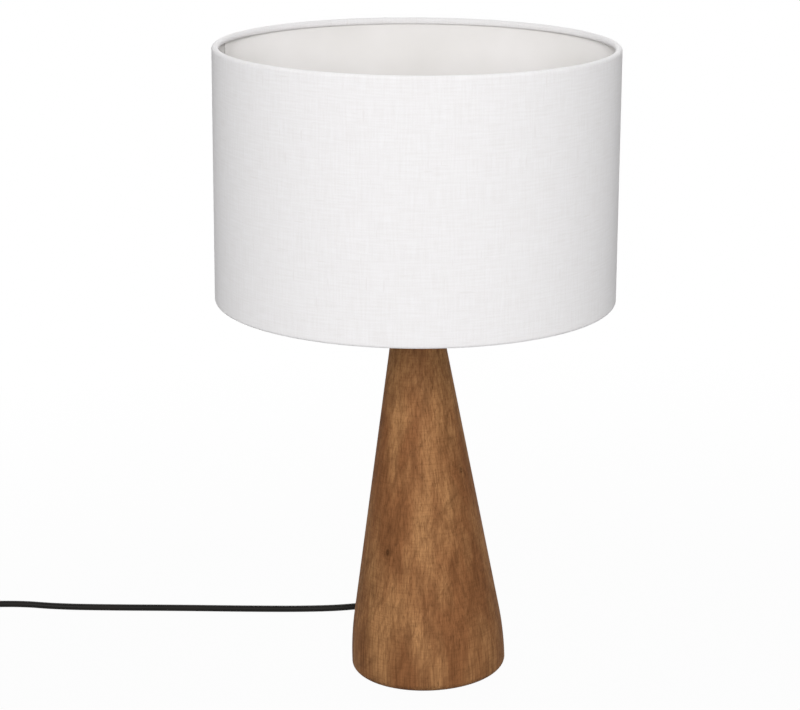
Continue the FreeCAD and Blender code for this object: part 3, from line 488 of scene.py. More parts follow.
@dataclass(frozen=True)
class Coating:
    """Powder-coated wire: white, half matt, with the orange peel of a baked powder."""

    name: str
    colour: str
    roughness: float = 0.4
    peel: float = 0.0011

    def material(self) -> bpy.types.Material:
        """Builds the material.

        Returns:
            The material, with its patterns.
        """
        d = Dressing.begun(self.name, Base_Color=self.colour)
        tree = d.tree
        peel = noise(tree, coordinates(tree, Space.OBJECT, (self.peel,) * 3), Detail=1.0)
        d.feed(Roughness=levels(tree, peel, 0.3, 0.7, self.roughness - 0.05, self.roughness + 0.07))
        d.raise_by(peel, 0.00005, 0.5)
        return d.material


@dataclass(frozen=True)
class PressedFelt:
    """Pressed felt: fully matt, with matted fibres that catch the light at a grazing angle."""

    name: str = "pressed_black_felt"
    colour: str = "#232120"
    fibre: str = "#3a3735"
    tuft: float = 0.0009

    def material(self) -> bpy.types.Material:
        """Builds the material.

        Returns:
            The material, with its patterns.
        """
        d = Dressing.begun(
            self.name, Roughness=1.0, Specular_IOR_Level=0.1, Sheen_Weight=0.35, Sheen_Roughness=0.6
        )
        tree = d.tree
        mat = noise(tree, coordinates(tree, Space.OBJECT, (self.tuft,) * 3), Detail=4.0, Distortion=1.5)
        d.feed(Base_Color=blend(tree, levels(tree, mat, 0.4, 0.7), self.colour, self.fibre))
        d.raise_by(mat, 0.0003, 0.7)
        return d.material


@dataclass(frozen=True)
class Glaze:
    """Glazed steatite or black vitrified insulation: hard and glossy, with a slightly uneven glaze."""

    name: str
    colour: str
    fleck: str
    fleck_size: float = 0.0012
    wave: float = 0.004  # the glaze's own unevenness

    def material(self) -> bpy.types.Material:
        """Builds the material.

        Returns:
            The material, with its patterns.
        """
        d = Dressing.begun(self.name, Roughness=0.22, Coat_Weight=0.4, Coat_Roughness=0.08)
        tree = d.tree
        flecks = noise(tree, coordinates(tree, Space.OBJECT, (self.fleck_size,) * 3), Detail=3.0)
        d.feed(Base_Color=blend(tree, levels(tree, flecks, 0.6, 0.75), self.colour, self.fleck))
        d.raise_by(noise(tree, coordinates(tree, Space.OBJECT, (self.wave,) * 3)), 0.00008, 0.3)
        return d.material


@dataclass(frozen=True)
class Opal:
    """Opal polycarbonate: milky white, smooth, with light scattered just under the skin."""

    name: str = "opal_polycarbonate"
    colour: str = "#f3f2ee"
    cloud: float = 0.02

    def material(self) -> bpy.types.Material:
        """Builds the material.

        Returns:
            The material, with its patterns.
        """
        d = Dressing.begun(
            self.name, Base_Color=self.colour, IOR=1.58, Subsurface_Weight=0.2, Subsurface_Scale=0.004
        )
        tree = d.tree
        film = noise(tree, coordinates(tree, Space.OBJECT, (self.cloud,) * 3), Detail=2.0)
        d.feed(Roughness=levels(tree, film, 0.3, 0.7, 0.2, 0.32))
        d.raise_by(film, 0.00003, 0.2)
        return d.material


@dataclass(frozen=True)
class CordJacket:
    """Extruded PVC jacket: near black and soft, with a low sheen along its back and faint die lines."""

    name: str = "extruded_pvc_jacket"
    colour: str = "#151311"
    dusty: str = "#211e1b"
    dust: float = 0.03
    skin: float = 0.0015

    def material(self) -> bpy.types.Material:
        """Builds the material.

        Returns:
            The material, with its patterns.
        """
        d = Dressing.begun(self.name, IOR=1.52, Specular_IOR_Level=0.12)
        tree = d.tree
        dust = noise(tree, coordinates(tree, Space.OBJECT, (self.dust,) * 3), Detail=4.0)
        skin = noise(tree, coordinates(tree, Space.OBJECT, (self.skin,) * 3), Detail=2.0)
        d.feed(
            Base_Color=blend(tree, levels(tree, dust, 0.45, 0.75), self.colour, self.dusty),
            Roughness=levels(tree, dust, 0.3, 0.7, 0.45, 0.6),
        )
        d.raise_by(skin, 0.00002, 0.25)
        return d.material


@dataclass(frozen=True)
class HookLoop:
    """Woven hook-and-loop strap: black nylon, matt, with rows of fine loops."""

    name: str = "hook_and_loop_nylon"
    colour: str = "#1d1c1c"
    loop: str = "#343232"
    loop_size: float = 0.0009

    def material(self) -> bpy.types.Material:
        """Builds the material.

        Returns:
            The material, with its patterns.
        """
        d = Dressing.begun(self.name, Roughness=0.95, Sheen_Weight=0.3, Sheen_Roughness=0.5)
        tree = d.tree
        loop_space = coordinates(tree, Space.OBJECT, (self.loop_size,) * 3)
        loops = add(tree, "ShaderNodeTexVoronoi", {"Vector": loop_space, "Scale": 1.0})
        d.feed(Base_Color=blend(tree, levels(tree, loops, 0.2, 0.7), self.loop, self.colour))
        d.raise_by(loops, 0.0003, 0.6)
        return d.material


def finishes() -> dict[Slot, bpy.types.Material]:
    """Builds the material of every slot.

    Returns:
        The material for each slot.
    """
    makers = {
        Slot.WOOD: TurnedWood(),
        Slot.FELT: PressedFelt(),
        Slot.PLATED_STEEL: Metal("zinc_plated_steel", "#b4b5b2", 0.36, Working.PLATED),
        Slot.SCREW_STEEL: Metal("bright_screw_steel", "#a9abad", 0.28, Working.TURNED),
        Slot.HOLDER_PLASTIC: MouldedPlastic("black_polyester_moulding", "#1c1b1a", 0.42),
        Slot.CERAMIC: Glaze("glazed_steatite", "#e6e2d6", "#cfc9ba"),
        Slot.BRASS: Metal("stamped_brass", "#c9a55c", 0.33, Working.STAMPED),
        Slot.JACKET: CordJacket(),
        Slot.CORE: MouldedPlastic("blue_core_insulation", "#2c4f8c", 0.35),
        Slot.SPIDER: Coating("white_powder_coat", "#ebebe8"),
        Slot.FABRIC: SlubWeave(),
        Slot.LINING: MattFilm(),
        Slot.OPAL: Opal(),
        Slot.HOUSING: MouldedPlastic("white_polybutylene_housing", "#eceae6", 0.4),
        Slot.CAP_METAL: Metal("nickel_plated_cap", "#c9c8c4", 0.3, Working.PLATED),
        Slot.VITRITE: Glaze("black_vitrite", "#161618", "#26262a"),
        Slot.SWITCH: MouldedPlastic("black_switch_moulding", "#211f1d", 0.48),
        Slot.ROCKER: MouldedPlastic("glossy_rocker_moulding", "#1b1a19", 0.25, depth=0.00001),
        Slot.PLUG: MouldedPlastic("black_plug_moulding", "#211f1d", 0.5),
        Slot.PIN: Metal("nickel_plated_brass", "#c7c3b8", 0.22, Working.PLATED),
        Slot.STRAP: HookLoop(),
    }
    return {slot: maker.material() for slot, maker in makers.items()}


# Geometry Nodes


def new_tree(name: str, **sizes: str) -> tuple[bpy.types.NodeTree, bpy.types.Node]:
    """Starts a geometry tree with a geometry, named sizes and a finish.

    Args:
        name: the tree's name.
        sizes: the socket type of each named input, Float or Int.

    Returns:
        The tree and its input node.
    """
    tree = bpy.data.node_groups.new(name, "GeometryNodeTree")
    face = tree.interface
    face.new_socket("Geometry", in_out="INPUT", socket_type="NodeSocketGeometry")
    for size, kind in sizes.items():
        face.new_socket(size, in_out="INPUT", socket_type=f"NodeSocket{kind}")
    face.new_socket("Finish", in_out="INPUT", socket_type="NodeSocketMaterial")
    face.new_socket("Geometry", in_out="OUTPUT", socket_type="NodeSocketGeometry")
    return tree, tree.nodes.new("NodeGroupInput")


def close_tree(tree: bpy.types.NodeTree, given: bpy.types.Node, mesh: bpy.types.NodeSocket) -> None:
    """Ends a tree in Realize Instances and Set Material.

    Args:
        tree: the geometry tree.
        given: its input node.
        mesh: the geometry that the tree has made.
    """
    smooth = add(tree, "GeometryNodeSetShadeSmooth", {"Geometry": mesh})
    real = add(tree, "GeometryNodeRealizeInstances", {"Geometry": smooth})
    dressed = add(tree, "GeometryNodeSetMaterial", {"Geometry": real, "Material": given.outputs["Finish"]})
    add(tree, "NodeGroupOutput", {"Geometry": dressed})


def turning_tree() -> bpy.types.NodeTree:
    """A lathe: sweeps a chain of points round the Z axis and keeps the surface's lengths as its UV map.

    Returns:
        The tree, with Steps, Reach and Finish.
    """
    tree, given = new_tree("turning", Steps="Int", Reach="Float")
    chain, steps = given.outputs["Geometry"], given.outputs["Steps"]
    count = add(tree, "GeometryNodeAttributeDomainSize", {"Geometry": chain}, out="Point Count")
    columns = add(tree, "ShaderNodeMath", {0: steps, 1: 1.0}, operation="ADD")
    grid = add(tree, "GeometryNodeMeshGrid", {"Vertices X": columns, "Vertices Y": count}, out="Mesh")
    index = add(tree, "GeometryNodeInputIndex")
    on_chain = add(tree, "FunctionNodeIntegerMath", {0: index, 1: count}, operation="MODULO")
    step = add(tree, "FunctionNodeIntegerMath", {0: index, 1: count}, operation="DIVIDE_FLOOR")
    share = add(tree, "ShaderNodeMath", {0: step, 1: steps}, operation="DIVIDE")
    angle = add(tree, "ShaderNodeMath", {0: share, 1: math.tau}, operation="MULTIPLY")
    place = add(
        tree,
        "GeometryNodeSampleIndex",
        {"Geometry": chain, "Value": add(tree, "GeometryNodeInputPosition"), "Index": on_chain},
        data_type="FLOAT_VECTOR",
    )
    named = add(tree, "GeometryNodeInputNamedAttribute", {"Name": "run"}, data_type="FLOAT")
    wanted = {"Geometry": chain, "Value": named, "Index": on_chain}
    run = add(tree, "GeometryNodeSampleIndex", wanted, data_type="FLOAT")
    turned = add(
        tree,
        "ShaderNodeVectorRotate",
        {"Vector": place, "Axis": (0, 0, 1), "Angle": angle},
        rotation_type="AXIS_ANGLE",
    )
    length = add(tree, "ShaderNodeMath", {0: angle, 1: given.outputs["Reach"]}, operation="MULTIPLY")
    lengths = add(tree, "ShaderNodeCombineXYZ", {0: length, 1: run})
    held = add(tree, "GeometryNodeCaptureAttribute", {"Geometry": grid})
    capture = held.node
    capture.capture_items.new("VECTOR", "Lengths")
    tree.links.new(lengths, capture.inputs["Lengths"])
    moved = add(tree, "GeometryNodeSetPosition", {"Geometry": held, "Position": turned})
    mapped = add(
        tree,
        "GeometryNodeStoreNamedAttribute",
        {"Geometry": moved, "Name": "UVMap", "Value": capture.outputs["Lengths"]},
        data_type="FLOAT2",
        domain="CORNER",
    )
    closed = add(tree, "GeometryNodeMergeByDistance", {"Geometry": mapped, "Distance": SEAM})
    close_tree(tree, given, closed)
    return tree


def along_tree() -> bpy.types.NodeTree:
    """Repeats a small shape along the X axis at an even pitch.

    Returns:
        The tree, with Count, Pitch and Finish.
    """
    tree, given = new_tree("along", Count="Int", Pitch="Float")
    points = add(tree, "GeometryNodePoints", {"Count": given.outputs["Count"]})
    index = add(tree, "GeometryNodeInputIndex")
    far = add(tree, "ShaderNodeMath", {0: index, 1: given.outputs["Pitch"]}, operation="MULTIPLY")
    spot = add(tree, "ShaderNodeCombineXYZ", {0: far})
    placed = add(tree, "GeometryNodeSetPosition", {"Geometry": points, "Position": spot})
    wanted = {"Points": placed, "Instance": given.outputs["Geometry"]}
    close_tree(tree, given, add(tree, "GeometryNodeInstanceOnPoints", wanted))
    return tree


def grown(name: str, mesh: bpy.types.Mesh, tree: bpy.types.NodeTree, **values: Any) -> bpy.types.Object:
    """Runs a geometry tree on a mesh and keeps the result as a plain mesh.

    Args:
        name: the new piece's name.
        mesh: the tree's geometry.
        tree: the geometry tree.
        values: its named inputs.

    Returns:
        The piece, with no modifier.
    """
    piece = bpy.data.objects.new(name, mesh)
    bpy.context.scene.collection.objects.link(piece)
    modifier = piece.modifiers.new("shape", "NODES")
    modifier.node_group = tree
    for item in tree.interface.items_tree:
        if item.in_out == "INPUT" and item.name in values:
            modifier[item.identifier] = values[item.name]
    return settled(piece)


def settled(piece: bpy.types.Object) -> bpy.types.Object:
    """Turns a piece's modifiers into a plain mesh.

    Args:
        piece: the piece.

    Returns:
        The same piece, with no modifier.
    """
    graph = bpy.context.evaluated_depsgraph_get()
    graph.update()
    mesh = bpy.data.meshes.new_from_object(piece.evaluated_get(graph))
    piece.modifiers.clear()
    piece.data = mesh
    return piece


# Meshes


def arc(radius: float, height: float, size: float, first: float, last: float, steps: int) -> list[Station]:
    """Points on an arc in the plane of radius and height.

    Args:
        radius: the centre's distance from the axis.
        height: the centre's height.
        size: the arc's own radius.
        first: its first angle in degrees.
        last: its last angle in degrees.
        steps: how many parts it has.

    Returns:
        The points, ends included.
    """
    angles = [math.radians(first + (last - first) * k / steps) for k in range(steps + 1)]
    return [(radius + size * math.cos(a), height + size * math.sin(a)) for a in angles]


def even(start: Station, end: Station, steps: int) -> list[Station]:
    """Points from start to end at even steps, ends included."""
    return [tuple(a + (b - a) * k / steps for a, b in zip(start, end)) for k in range(steps + 1)]


def bend(start: Station, way: Station, end: Station, steps: int) -> list[Station]:
    """Points on the arc that leaves start in a direction and meets end.

    Args:
        start: where it starts.
        way: the direction in which it leaves.
        end: where it ends.
        steps: how many parts it has.

    Returns:
        The points, ends included.
    """
    long = math.hypot(*way)
    out = (way[1] / long, -way[0] / long)
    step = (end[0] - start[0], end[1] - start[1])
    size = (step[0] ** 2 + step[1] ** 2) / (2 * (step[0] * out[0] + step[1] * out[1]))
    centre = (start[0] + size * out[0], start[1] + size * out[1])
    first, last = (math.degrees(math.atan2(q[1] - centre[1], q[0] - centre[0])) for q in (start, end))
    return arc(*centre, size, first, last, steps)


def ripples(radius: float, depth: float, foot: float, top: float, pitch: float) -> list[Station]:
    """Points up a rolled thread, whose crests reach the radius.

    Args:
        radius: the crests' radius.
        depth: how deep the roots lie.
        foot: the thread's lower end.
        top: its upper end.
        pitch: the distance between crests.

    Returns:
        The points from foot to top, both on a crest.
    """
    turns = max(1, round((top - foot) / pitch))
    count = turns * THREAD_STEPS
    heights = [foot + (top - foot) * k / count for k in range(count + 1)]
    depths = [depth * (0.5 - 0.5 * math.cos(math.tau * turns * k / count)) for k in range(count + 1)]
    return [(radius - low, z) for low, z in zip(depths, heights)]


def rounded(corners: Sequence[Station], size: float, steps: int = 5) -> list[Station]:
    """A line whose inner corners are rounded, as a flat strap's are.

    Args:
        corners: the line's corners.
        size: how far from each corner the rounding starts.
        steps: the parts of each rounding.

    Returns:
        The points of the line.
    """
    points = [corners[0]]
    for before, corner, after in zip(corners, corners[1:], corners[2:]):
        here = Vector(corner)
        start = here + (Vector(before) - here).normalized() * size
        end = here + (Vector(after) - here).normalized() * size
        for k in range(steps + 1):
            t = k / steps
            points.append(tuple(start * (1 - t) ** 2 + here * (2 * t * (1 - t)) + end * t**2))
    return points + [corners[-1]]


def chain_mesh(name: str, points: Sequence[Station]) -> bpy.types.Mesh:
    """A chain of points of radius and height, each with its run from the first.

    Args:
        name: the mesh's name.
        points: the chain.

    Returns:
        The mesh that the turning tree takes.
    """
    mesh = bpy.data.meshes.new(name)
    mesh.from_pydata([(r, 0.0, z) for r, z in points], [(k, k + 1) for k in range(len(points) - 1)], [])
    runs = [0.0]
    for a, b in zip(points, points[1:]):
        runs.append(runs[-1] + math.dist(a, b))
    mesh.attributes.new("run", "FLOAT", "POINT").data.foreach_set("value", runs)
    return mesh


def box_mesh(size: Point, bevel: float) -> bpy.types.Mesh:
    """A small block with rounded edges, centred on the origin.

    Args:
        size: its sides.
        bevel: how far its edges are rounded.

    Returns:
        Its mesh.
    """
    shape = bmesh.new()
    bmesh.ops.create_cube(shape, size=1.0, matrix=Matrix.Diagonal((*size, 1.0)))
    bmesh.ops.bevel(shape, geom=shape.edges[:], offset=bevel, segments=3, profile=0.5, affect="EDGES")
    mesh = bpy.data.meshes.new("block")
    shape.to_mesh(mesh)
    shape.free()
    return mesh


def band(
    name: str, line: Sequence[Station], width: float, thickness: float, edge: float
) -> bpy.types.Object:
    """A flat strap along a line in the XZ plane, with eased edges.

    Args:
        name: the piece's name.
        line: the middle of its thickness.
        width: its width along Y.
        thickness: its thickness.
        edge: how far its edges are eased.

    Returns:
        The closed strap.
    """
    half, flat = width / 2, thickness / 2
    section = [(half - edge, flat), (half, flat - edge), (half, edge - flat), (half - edge, -flat)]
    section += [(-y, -z) for y, z in section]
    shape = bmesh.new()
    rows = []
    for k, (x, z) in enumerate(line):
        before, after = line[max(k - 1, 0)], line[min(k + 1, len(line) - 1)]
        way = Vector((after[0] - before[0], after[1] - before[1])).normalized()
        rows.append([shape.verts.new((x - way.y * up, y, z + way.x * up)) for y, up in section])
    for a, b in zip(rows, rows[1:]):
        for k in range(len(section)):
            shape.faces.new((a[k], b[k], b[k - 1], a[k - 1]))
    shape.faces.new(rows[0])
    shape.faces.new(rows[-1][::-1])
    return kept(name, shape)


def kept(name: str, shape: bmesh.types.BMesh) -> bpy.types.Object:
    """Makes an object of a mesh in the making, with its faces outwards.

    Args:
        name: the piece's name.
        shape: the closed mesh, which is used up.

    Returns:
        The piece.
    """
    bmesh.ops.recalc_face_normals(shape, faces=shape.faces[:])
    mesh = bpy.data.meshes.new(name)
    shape.to_mesh(mesh)
    shape.free()
    mesh.shade_smooth()
    piece = bpy.data.objects.new(name, mesh)
    bpy.context.scene.collection.objects.link(piece)
    return sharpened(piece)


def sharpened(piece: bpy.types.Object) -> bpy.types.Object:
    """Keeps the corners of a smooth piece crisp."""
    piece.data.set_sharp_from_angle(angle=math.radians(CRISP))
    return piece


@dataclass
class Workshop:
    """What every sub-assembly shares: the frame's nodes, the materials and the geometry trees."""

    frame: dict[str, Any]
    materials: dict[Slot, bpy.types.Material]
    turning: bpy.types.NodeTree = field(default_factory=turning_tree)
    along: bpy.types.NodeTree = field(default_factory=along_tree)

    def turned(
        self, name: str, slot: Slot, points: Sequence[Station], reach: float, steps: int = 192
    ) -> bpy.types.Object:
        """Turns a piece from a chain of radius and height.

        Args:
            name: the piece's name.
            slot: its finish.
            points: the chain, up its outside.
            reach: the radius that its UV map unrolls.
            steps: the parts of a full turn.

        Returns:
            The piece.
        """
        chain = chain_mesh(name, points)
        finish = self.materials[slot]
        return sharpened(grown(name, chain, self.turning, Steps=steps, Reach=reach, Finish=finish))

    def fit(self, piece: bpy.types.Object, body: Body, slot: Slot, *nodes: str) -> bpy.types.Object:
        """Puts a finished piece on its body, in place of the nodes that it stands for.

        Args:
            piece: the piece, in place.
            body: the body that it moves with.
            slot: the slot of its finish.
            nodes: the CAD nodes that it replaces.

        Returns:
            The piece.
        """
        if not piece.data.materials:
            piece.data.materials.append(self.materials[slot])
        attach(piece, body.value)
        if nodes:
            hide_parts(*nodes)
        LOG.info("%s rides on %s, for %s", piece.name, body.value, ", ".join(nodes) or "nothing in CAD")
        return piece

    def dress_nodes(self) -> None:
        """Gives every CAD node that still shows the finish of its slot."""
        for part in self.frame["record"]["subparts"]:
            node = self.frame["nodes"][part["node"]]
            node.data.materials.clear()
            node.data.materials.append(self.materials[Slot(part["material_slot"])])
            LOG.info("node %s has %s", node.name, part["material_slot"])


# Sub-assemblies


@dataclass
class Column:
    """The turned wooden column and the felt under it."""

    shop: Workshop
    underside: float = 1.0 * MM
    height: float = 254.0 * MM
    foot_radius: float = 55.3 * MM
    top_radius: float = 17.95 * MM
    flare: float = 225.0 * MM
    foot_round: Station = (12.0 * MM, 7.5 * MM)
    edge: float = 1.0 * MM
    recess_radius: float = 40.0 * MM
    recess_top: float = 3.0 * MM
    cavity_radius: float = 24.0 * MM
    cavity_top: float = 44.0 * MM
    bore: float = 5.25 * MM
    exit_height: float = 14.0 * MM
    exit_hole: float = 4.2 * MM
    spot_radius: float = 6.3 * MM
    spot_plane: float = 53.8 * MM
    felt_radius: float = 39.7 * MM
    felt_thickness: float = 3.0 * MM
    felt_edge: float = 0.5 * MM
    steps: int = 256
    drill_reach: float = 1.2  # the cutters end at this many times the foot's radius

    def outline(self) -> list[Station]:
        """The closed half section: up the outside, down the bore and the cavity.

        Returns:
            The points, the last on the first.
        """
        top = self.underside + self.height
        wide, high = self.foot_round
        foot = self.underside + high
        flat = self.foot_radius - wide
        quarter = [math.radians(90.0 * k / 16) for k in range(17)]
        points = [(flat + wide * math.sin(a), foot - high * math.cos(a)) for a in quarter]
        centre = self.foot_radius - self.flare
        away = math.hypot(self.top_radius - centre, top - foot)
        to_top = math.atan2(top - foot, self.top_radius - centre)
        leaves = math.degrees(to_top - math.acos(self.flare / away))
        points += arc(centre, foot, self.flare, 0, leaves, 24)[1:]
        points += even(points[-1], (self.top_radius, top - self.edge), 12)[1:]
        points += arc(self.top_radius - self.edge, top - self.edge, self.edge, 0, 90, 4)[1:]
        inside = [
            (self.bore, top),
            (self.bore, self.cavity_top),
            (self.cavity_radius, self.cavity_top),
            (self.cavity_radius, self.recess_top),
            (self.recess_radius, self.recess_top),
            (self.recess_radius, self.underside),
        ]
        return points + inside + points[:1]

    def drill(self, radius: float, start: float, end: float) -> bpy.types.Object:
        """A round cutter along +Y at the height of the cord's exit.

        Args:
            radius: its radius.
            start: where along Y it starts.
            end: where it ends.

        Returns:
            The cutter.
        """
        shape = bmesh.new()
        middle = Matrix.Translation((0, (start + end) / 2, self.exit_height))
        way = middle @ Matrix.Rotation(math.pi / 2, 4, "X")
        bmesh.ops.create_cone(
            shape, cap_ends=True, segments=48, radius1=radius, radius2=radius, depth=end - start, matrix=way
        )
        mesh = bpy.data.meshes.new("drill")
        shape.to_mesh(mesh)
        shape.free()
        cutter = bpy.data.objects.new("drill", mesh)
        bpy.context.scene.collection.objects.link(cutter)
        return cutter

    def build(self) -> None:
        """Builds the column and the felt pad."""
        wood = self.shop.turned("turned_column", Slot.WOOD, self.outline(), self.foot_radius, self.steps)
        past = self.foot_radius * self.drill_reach
        hole, spot = (self.exit_hole, 0.0), (self.spot_radius, self.spot_plane)
        cutters = [self.drill(*cut, past) for cut in (hole, spot)]
        for cutter in cutters:
            modifier = wood.modifiers.new("exit", "BOOLEAN")
            modifier.object, modifier.solver = cutter, "EXACT"
        settled(wood)
        for cutter in cutters:
            bpy.data.objects.remove(cutter)
        self.shop.fit(sharpened(wood), Body.COLUMN, Slot.WOOD, "wood_column")
        soft, radius, top = self.felt_edge, self.felt_radius, self.felt_thickness
        side = arc(radius - soft, soft, soft, -90, 0, 4) + arc(radius - soft, top - soft, soft, 0, 90, 4)
        felt = self.shop.turned("felt_pad", Slot.FELT, [(0.0, 0.0), *side, (0.0, top)], radius)
        self.shop.fit(felt, Body.COLUMN, Slot.FELT, "base_pad")


@dataclass
class Drum:
    """The fabric drum with its film lining and joining tape, made upright and then leant."""

    shop: Workshop
    radius: float = 140.0 * MM
    foot: float = -17.8 * MM
    height: float = 178.3 * MM
    lean: float = 2.23
    pivot: float = 294.75 * MM
    cover: float = 0.5 * MM
    lining: float = 0.6 * MM
    wire_radius: float = 1.25 * MM
    roll_play: float = 0.6 * MM
    rolled: float = 255.0
    glue: float = 0.05 * MM
    tape_width: float = 9.0 * MM
    tape_thickness: float = 0.5 * MM
    seam_angle: float = 164.0
    lap_width: float = 12.0 * MM
    lap_proud: float = 0.25 * MM
    lap_short: float = 1.2 * MM
    flat_width: float = 0.192
    flat_length: float = 0.878
    film_play: float = 0.1 * MM  # between the film's edge and the roll
    steps: int = 360
    wall_steps: int = 60
    film_steps: int = 40
    roll_steps: tuple[int, int] = (28, 24)  # outside and inside of each roll
    strip_steps: int = 16
    strip_eased: float = 0.45  # how much thinner a strip's two edges are

    def place(self, piece: bpy.types.Object) -> bpy.types.Object:
        """Leans a piece with the drum and lifts it to the lampholder.

        Args:
            piece: the piece, upright about the origin.

        Returns:
            The same piece, in place.
        """
        lean = Matrix.Rotation(math.radians(self.lean), 4, "Y")
        piece.data.transform(Matrix.Translation((0, 0, self.pivot)) @ lean)
        return piece

    def outline(self) -> list[Station]:
        """The closed section of the fabric: straight wall, each edge rolled inwards round its wire.

        Returns:
            The points, the last on the first.
        """
        inner = self.wire_radius + self.roll_play
        outer = inner + self.cover
        ring = self.radius - outer
        low, high = self.foot + outer, self.foot + self.height - outer
        wall, back = self.radius, self.radius - self.cover
        many, few = self.roll_steps
        points = even((wall, low), (wall, high), self.wall_steps)
        points += arc(ring, high, outer, 0, self.rolled, many)[1:]
        points += arc(ring, high, inner, self.rolled, 0, few)
        points += even((back, high), (back, low), self.wall_steps)[1:]
        points += arc(ring, low, inner, 0, -self.rolled, few)[1:]
        points += arc(ring, low, outer, -self.rolled, 0, many)
        return points

    def build(self) -> None:
        """Builds the fabric, the film, the tape and the lap."""
        fabric = self.shop.turned("drum_fabric", Slot.FABRIC, self.outline(), self.radius, self.steps)
        self.shop.fit(self.place(fabric), Body.SHADE, Slot.FABRIC, "shade_cover")
        tucked = 2 * (self.wire_radius + self.roll_play + self.cover) + self.film_play
        low, high = self.foot + tucked, self.foot + self.height - tucked
        out = self.radius - self.cover - self.glue
        back = out - self.lining
        inside = even((back, high), (back, low), self.film_steps)
        film_line = [(out, low), (out, high), *inside, (out, low)]
        film = self.shop.turned("drum_film", Slot.LINING, film_line, self.radius, self.steps)
        self.shop.fit(self.place(film), Body.SHADE, Slot.LINING, "shade_lining")
        under = back - self.roll_play
        tape = self.strip("joining_tape", under, self.tape_thickness, self.tape_width, low, high)
        self.shop.fit(tape, Body.SHADE, Slot.LINING, "seam_strip")
        low, high = self.foot + self.lap_short, self.foot + self.height - self.lap_short
        over = self.radius + self.lap_proud
        lap = self.strip("fabric_lap", over, 2 * self.lap_proud, self.lap_width, low, high)
        self.shop.fit(lap, Body.SHADE, Slot.FABRIC)

    def strip(
        self, name: str, radius: float, thickness: float, width: float, low: float, high: float
    ) -> bpy.types.Object:
        """A thin upright strip over the joint, with the same UV map as the drum's.

        Args:
            name: the piece's name.
            radius: its outer radius.
            thickness: its thickness.
            width: its width round the drum.
            low: its lower end.
            high: its upper end.

        Returns:
            The strip, in place.
        """
        half = width / 2 / radius
        middle = math.radians(self.seam_angle)
        shape = bmesh.new()
        rows = []
        for k in range(self.strip_steps + 1):
            angle = middle + half * (2 * k / self.strip_steps - 1)
            out = Vector((math.cos(angle), math.sin(angle), 0))
            inner = out * (radius - thickness)
            eased = thickness * self.strip_eased if k in (0, self.strip_steps) else 0
            outer = out * (radius - eased)
            corners = [outer + Vector((0, 0, z)) for z in (low, high)]
            corners += [inner + Vector((0, 0, z)) for z in (high, low)]
            rows.append([shape.verts.new(v) for v in corners])
        for a, b in zip(rows, rows[1:]):
            for k in range(4):
                shape.faces.new((a[k], b[k], b[(k + 1) % 4], a[(k + 1) % 4]))
        shape.faces.new(rows[0][::-1])
        shape.faces.new(rows[-1])
        lengths = shape.loops.layers.uv.new("UVMap")
        for face in shape.faces:
            for loop in face.loops:
                x, y, z = loop.vert.co
                loop[lengths].uv = (math.atan2(y, x) * self.radius, z)
        return self.place(kept(name, shape))


@dataclass
class Bulb:
    """The opal bulb: screw cap, housing and dome."""

    shop: Workshop
    cap_radius: float = 13.3 * MM
    cap_wall: float = 0.6 * MM
    cap_foot: float = 296.0 * MM
    cap_top: float = 320.0 * MM
    thread: Station = (0.55 * MM, 3.6 * MM)
    collar_foot: float = 13.9 * MM
    collar_way: Station = (0.15, 1.0)
    joint: Station = (27.5 * MM, 362.0 * MM)
    spigot: float = 12.6 * MM
    spigot_foot: float = 302.0 * MM
    dome: float = 30.0 * MM
    thread_ends: Station = (1.0 * MM, 2.0 * MM)  # plain rim below and above the thread
    flare_steps: int = 24
    dome_steps: int = 40

    def build(self) -> None:
        """Builds the cap, the housing and the dome."""
        depth, pitch = self.thread
        inside = self.cap_radius - self.cap_wall
        first, last = self.cap_foot + self.thread_ends[0], self.cap_top - self.thread_ends[1]
        outer = ripples(self.cap_radius, depth, first, last, pitch)
        inner = [(r - self.cap_wall, z) for r, z in reversed(outer)]
        lip = [(self.cap_radius, self.cap_top), (inside, self.cap_top)]
        foot = [(inside, self.cap_foot), (self.cap_radius, self.cap_foot)]
        line = [foot[1], *outer, *lip, *inner, *foot]
        cap = self.shop.turned("screw_cap", Slot.CAP_METAL, line, self.cap_radius)
        self.shop.fit(cap, Body.BULB, Slot.CAP_METAL, "bulb_cap")
        flare = bend((self.collar_foot, self.cap_top), self.collar_way, self.joint, self.flare_steps)
        line = [(0.0, self.spigot_foot), (self.spigot, self.spigot_foot), (self.spigot, self.cap_top)]
        line += [*flare, (0.0, self.joint[1])]
        housing = self.shop.turned("bulb_housing", Slot.HOUSING, line, self.joint[0])
        self.shop.fit(housing, Body.BULB, Slot.HOUSING, "bulb_collar")
        drop = math.sqrt(self.dome**2 - self.joint[0] ** 2)
        rise = -math.degrees(math.asin(drop / self.dome))
        line = [(0.0, self.joint[1]), *arc(0.0, self.joint[1] + drop, self.dome, rise, 90, self.dome_steps)]
        line[-1] = (0.0, line[-1][1])
        dome = self.shop.turned("opal_dome", Slot.OPAL, line, self.dome)
        self.shop.fit(dome, Body.BULB, Slot.OPAL, "bulb_dome")


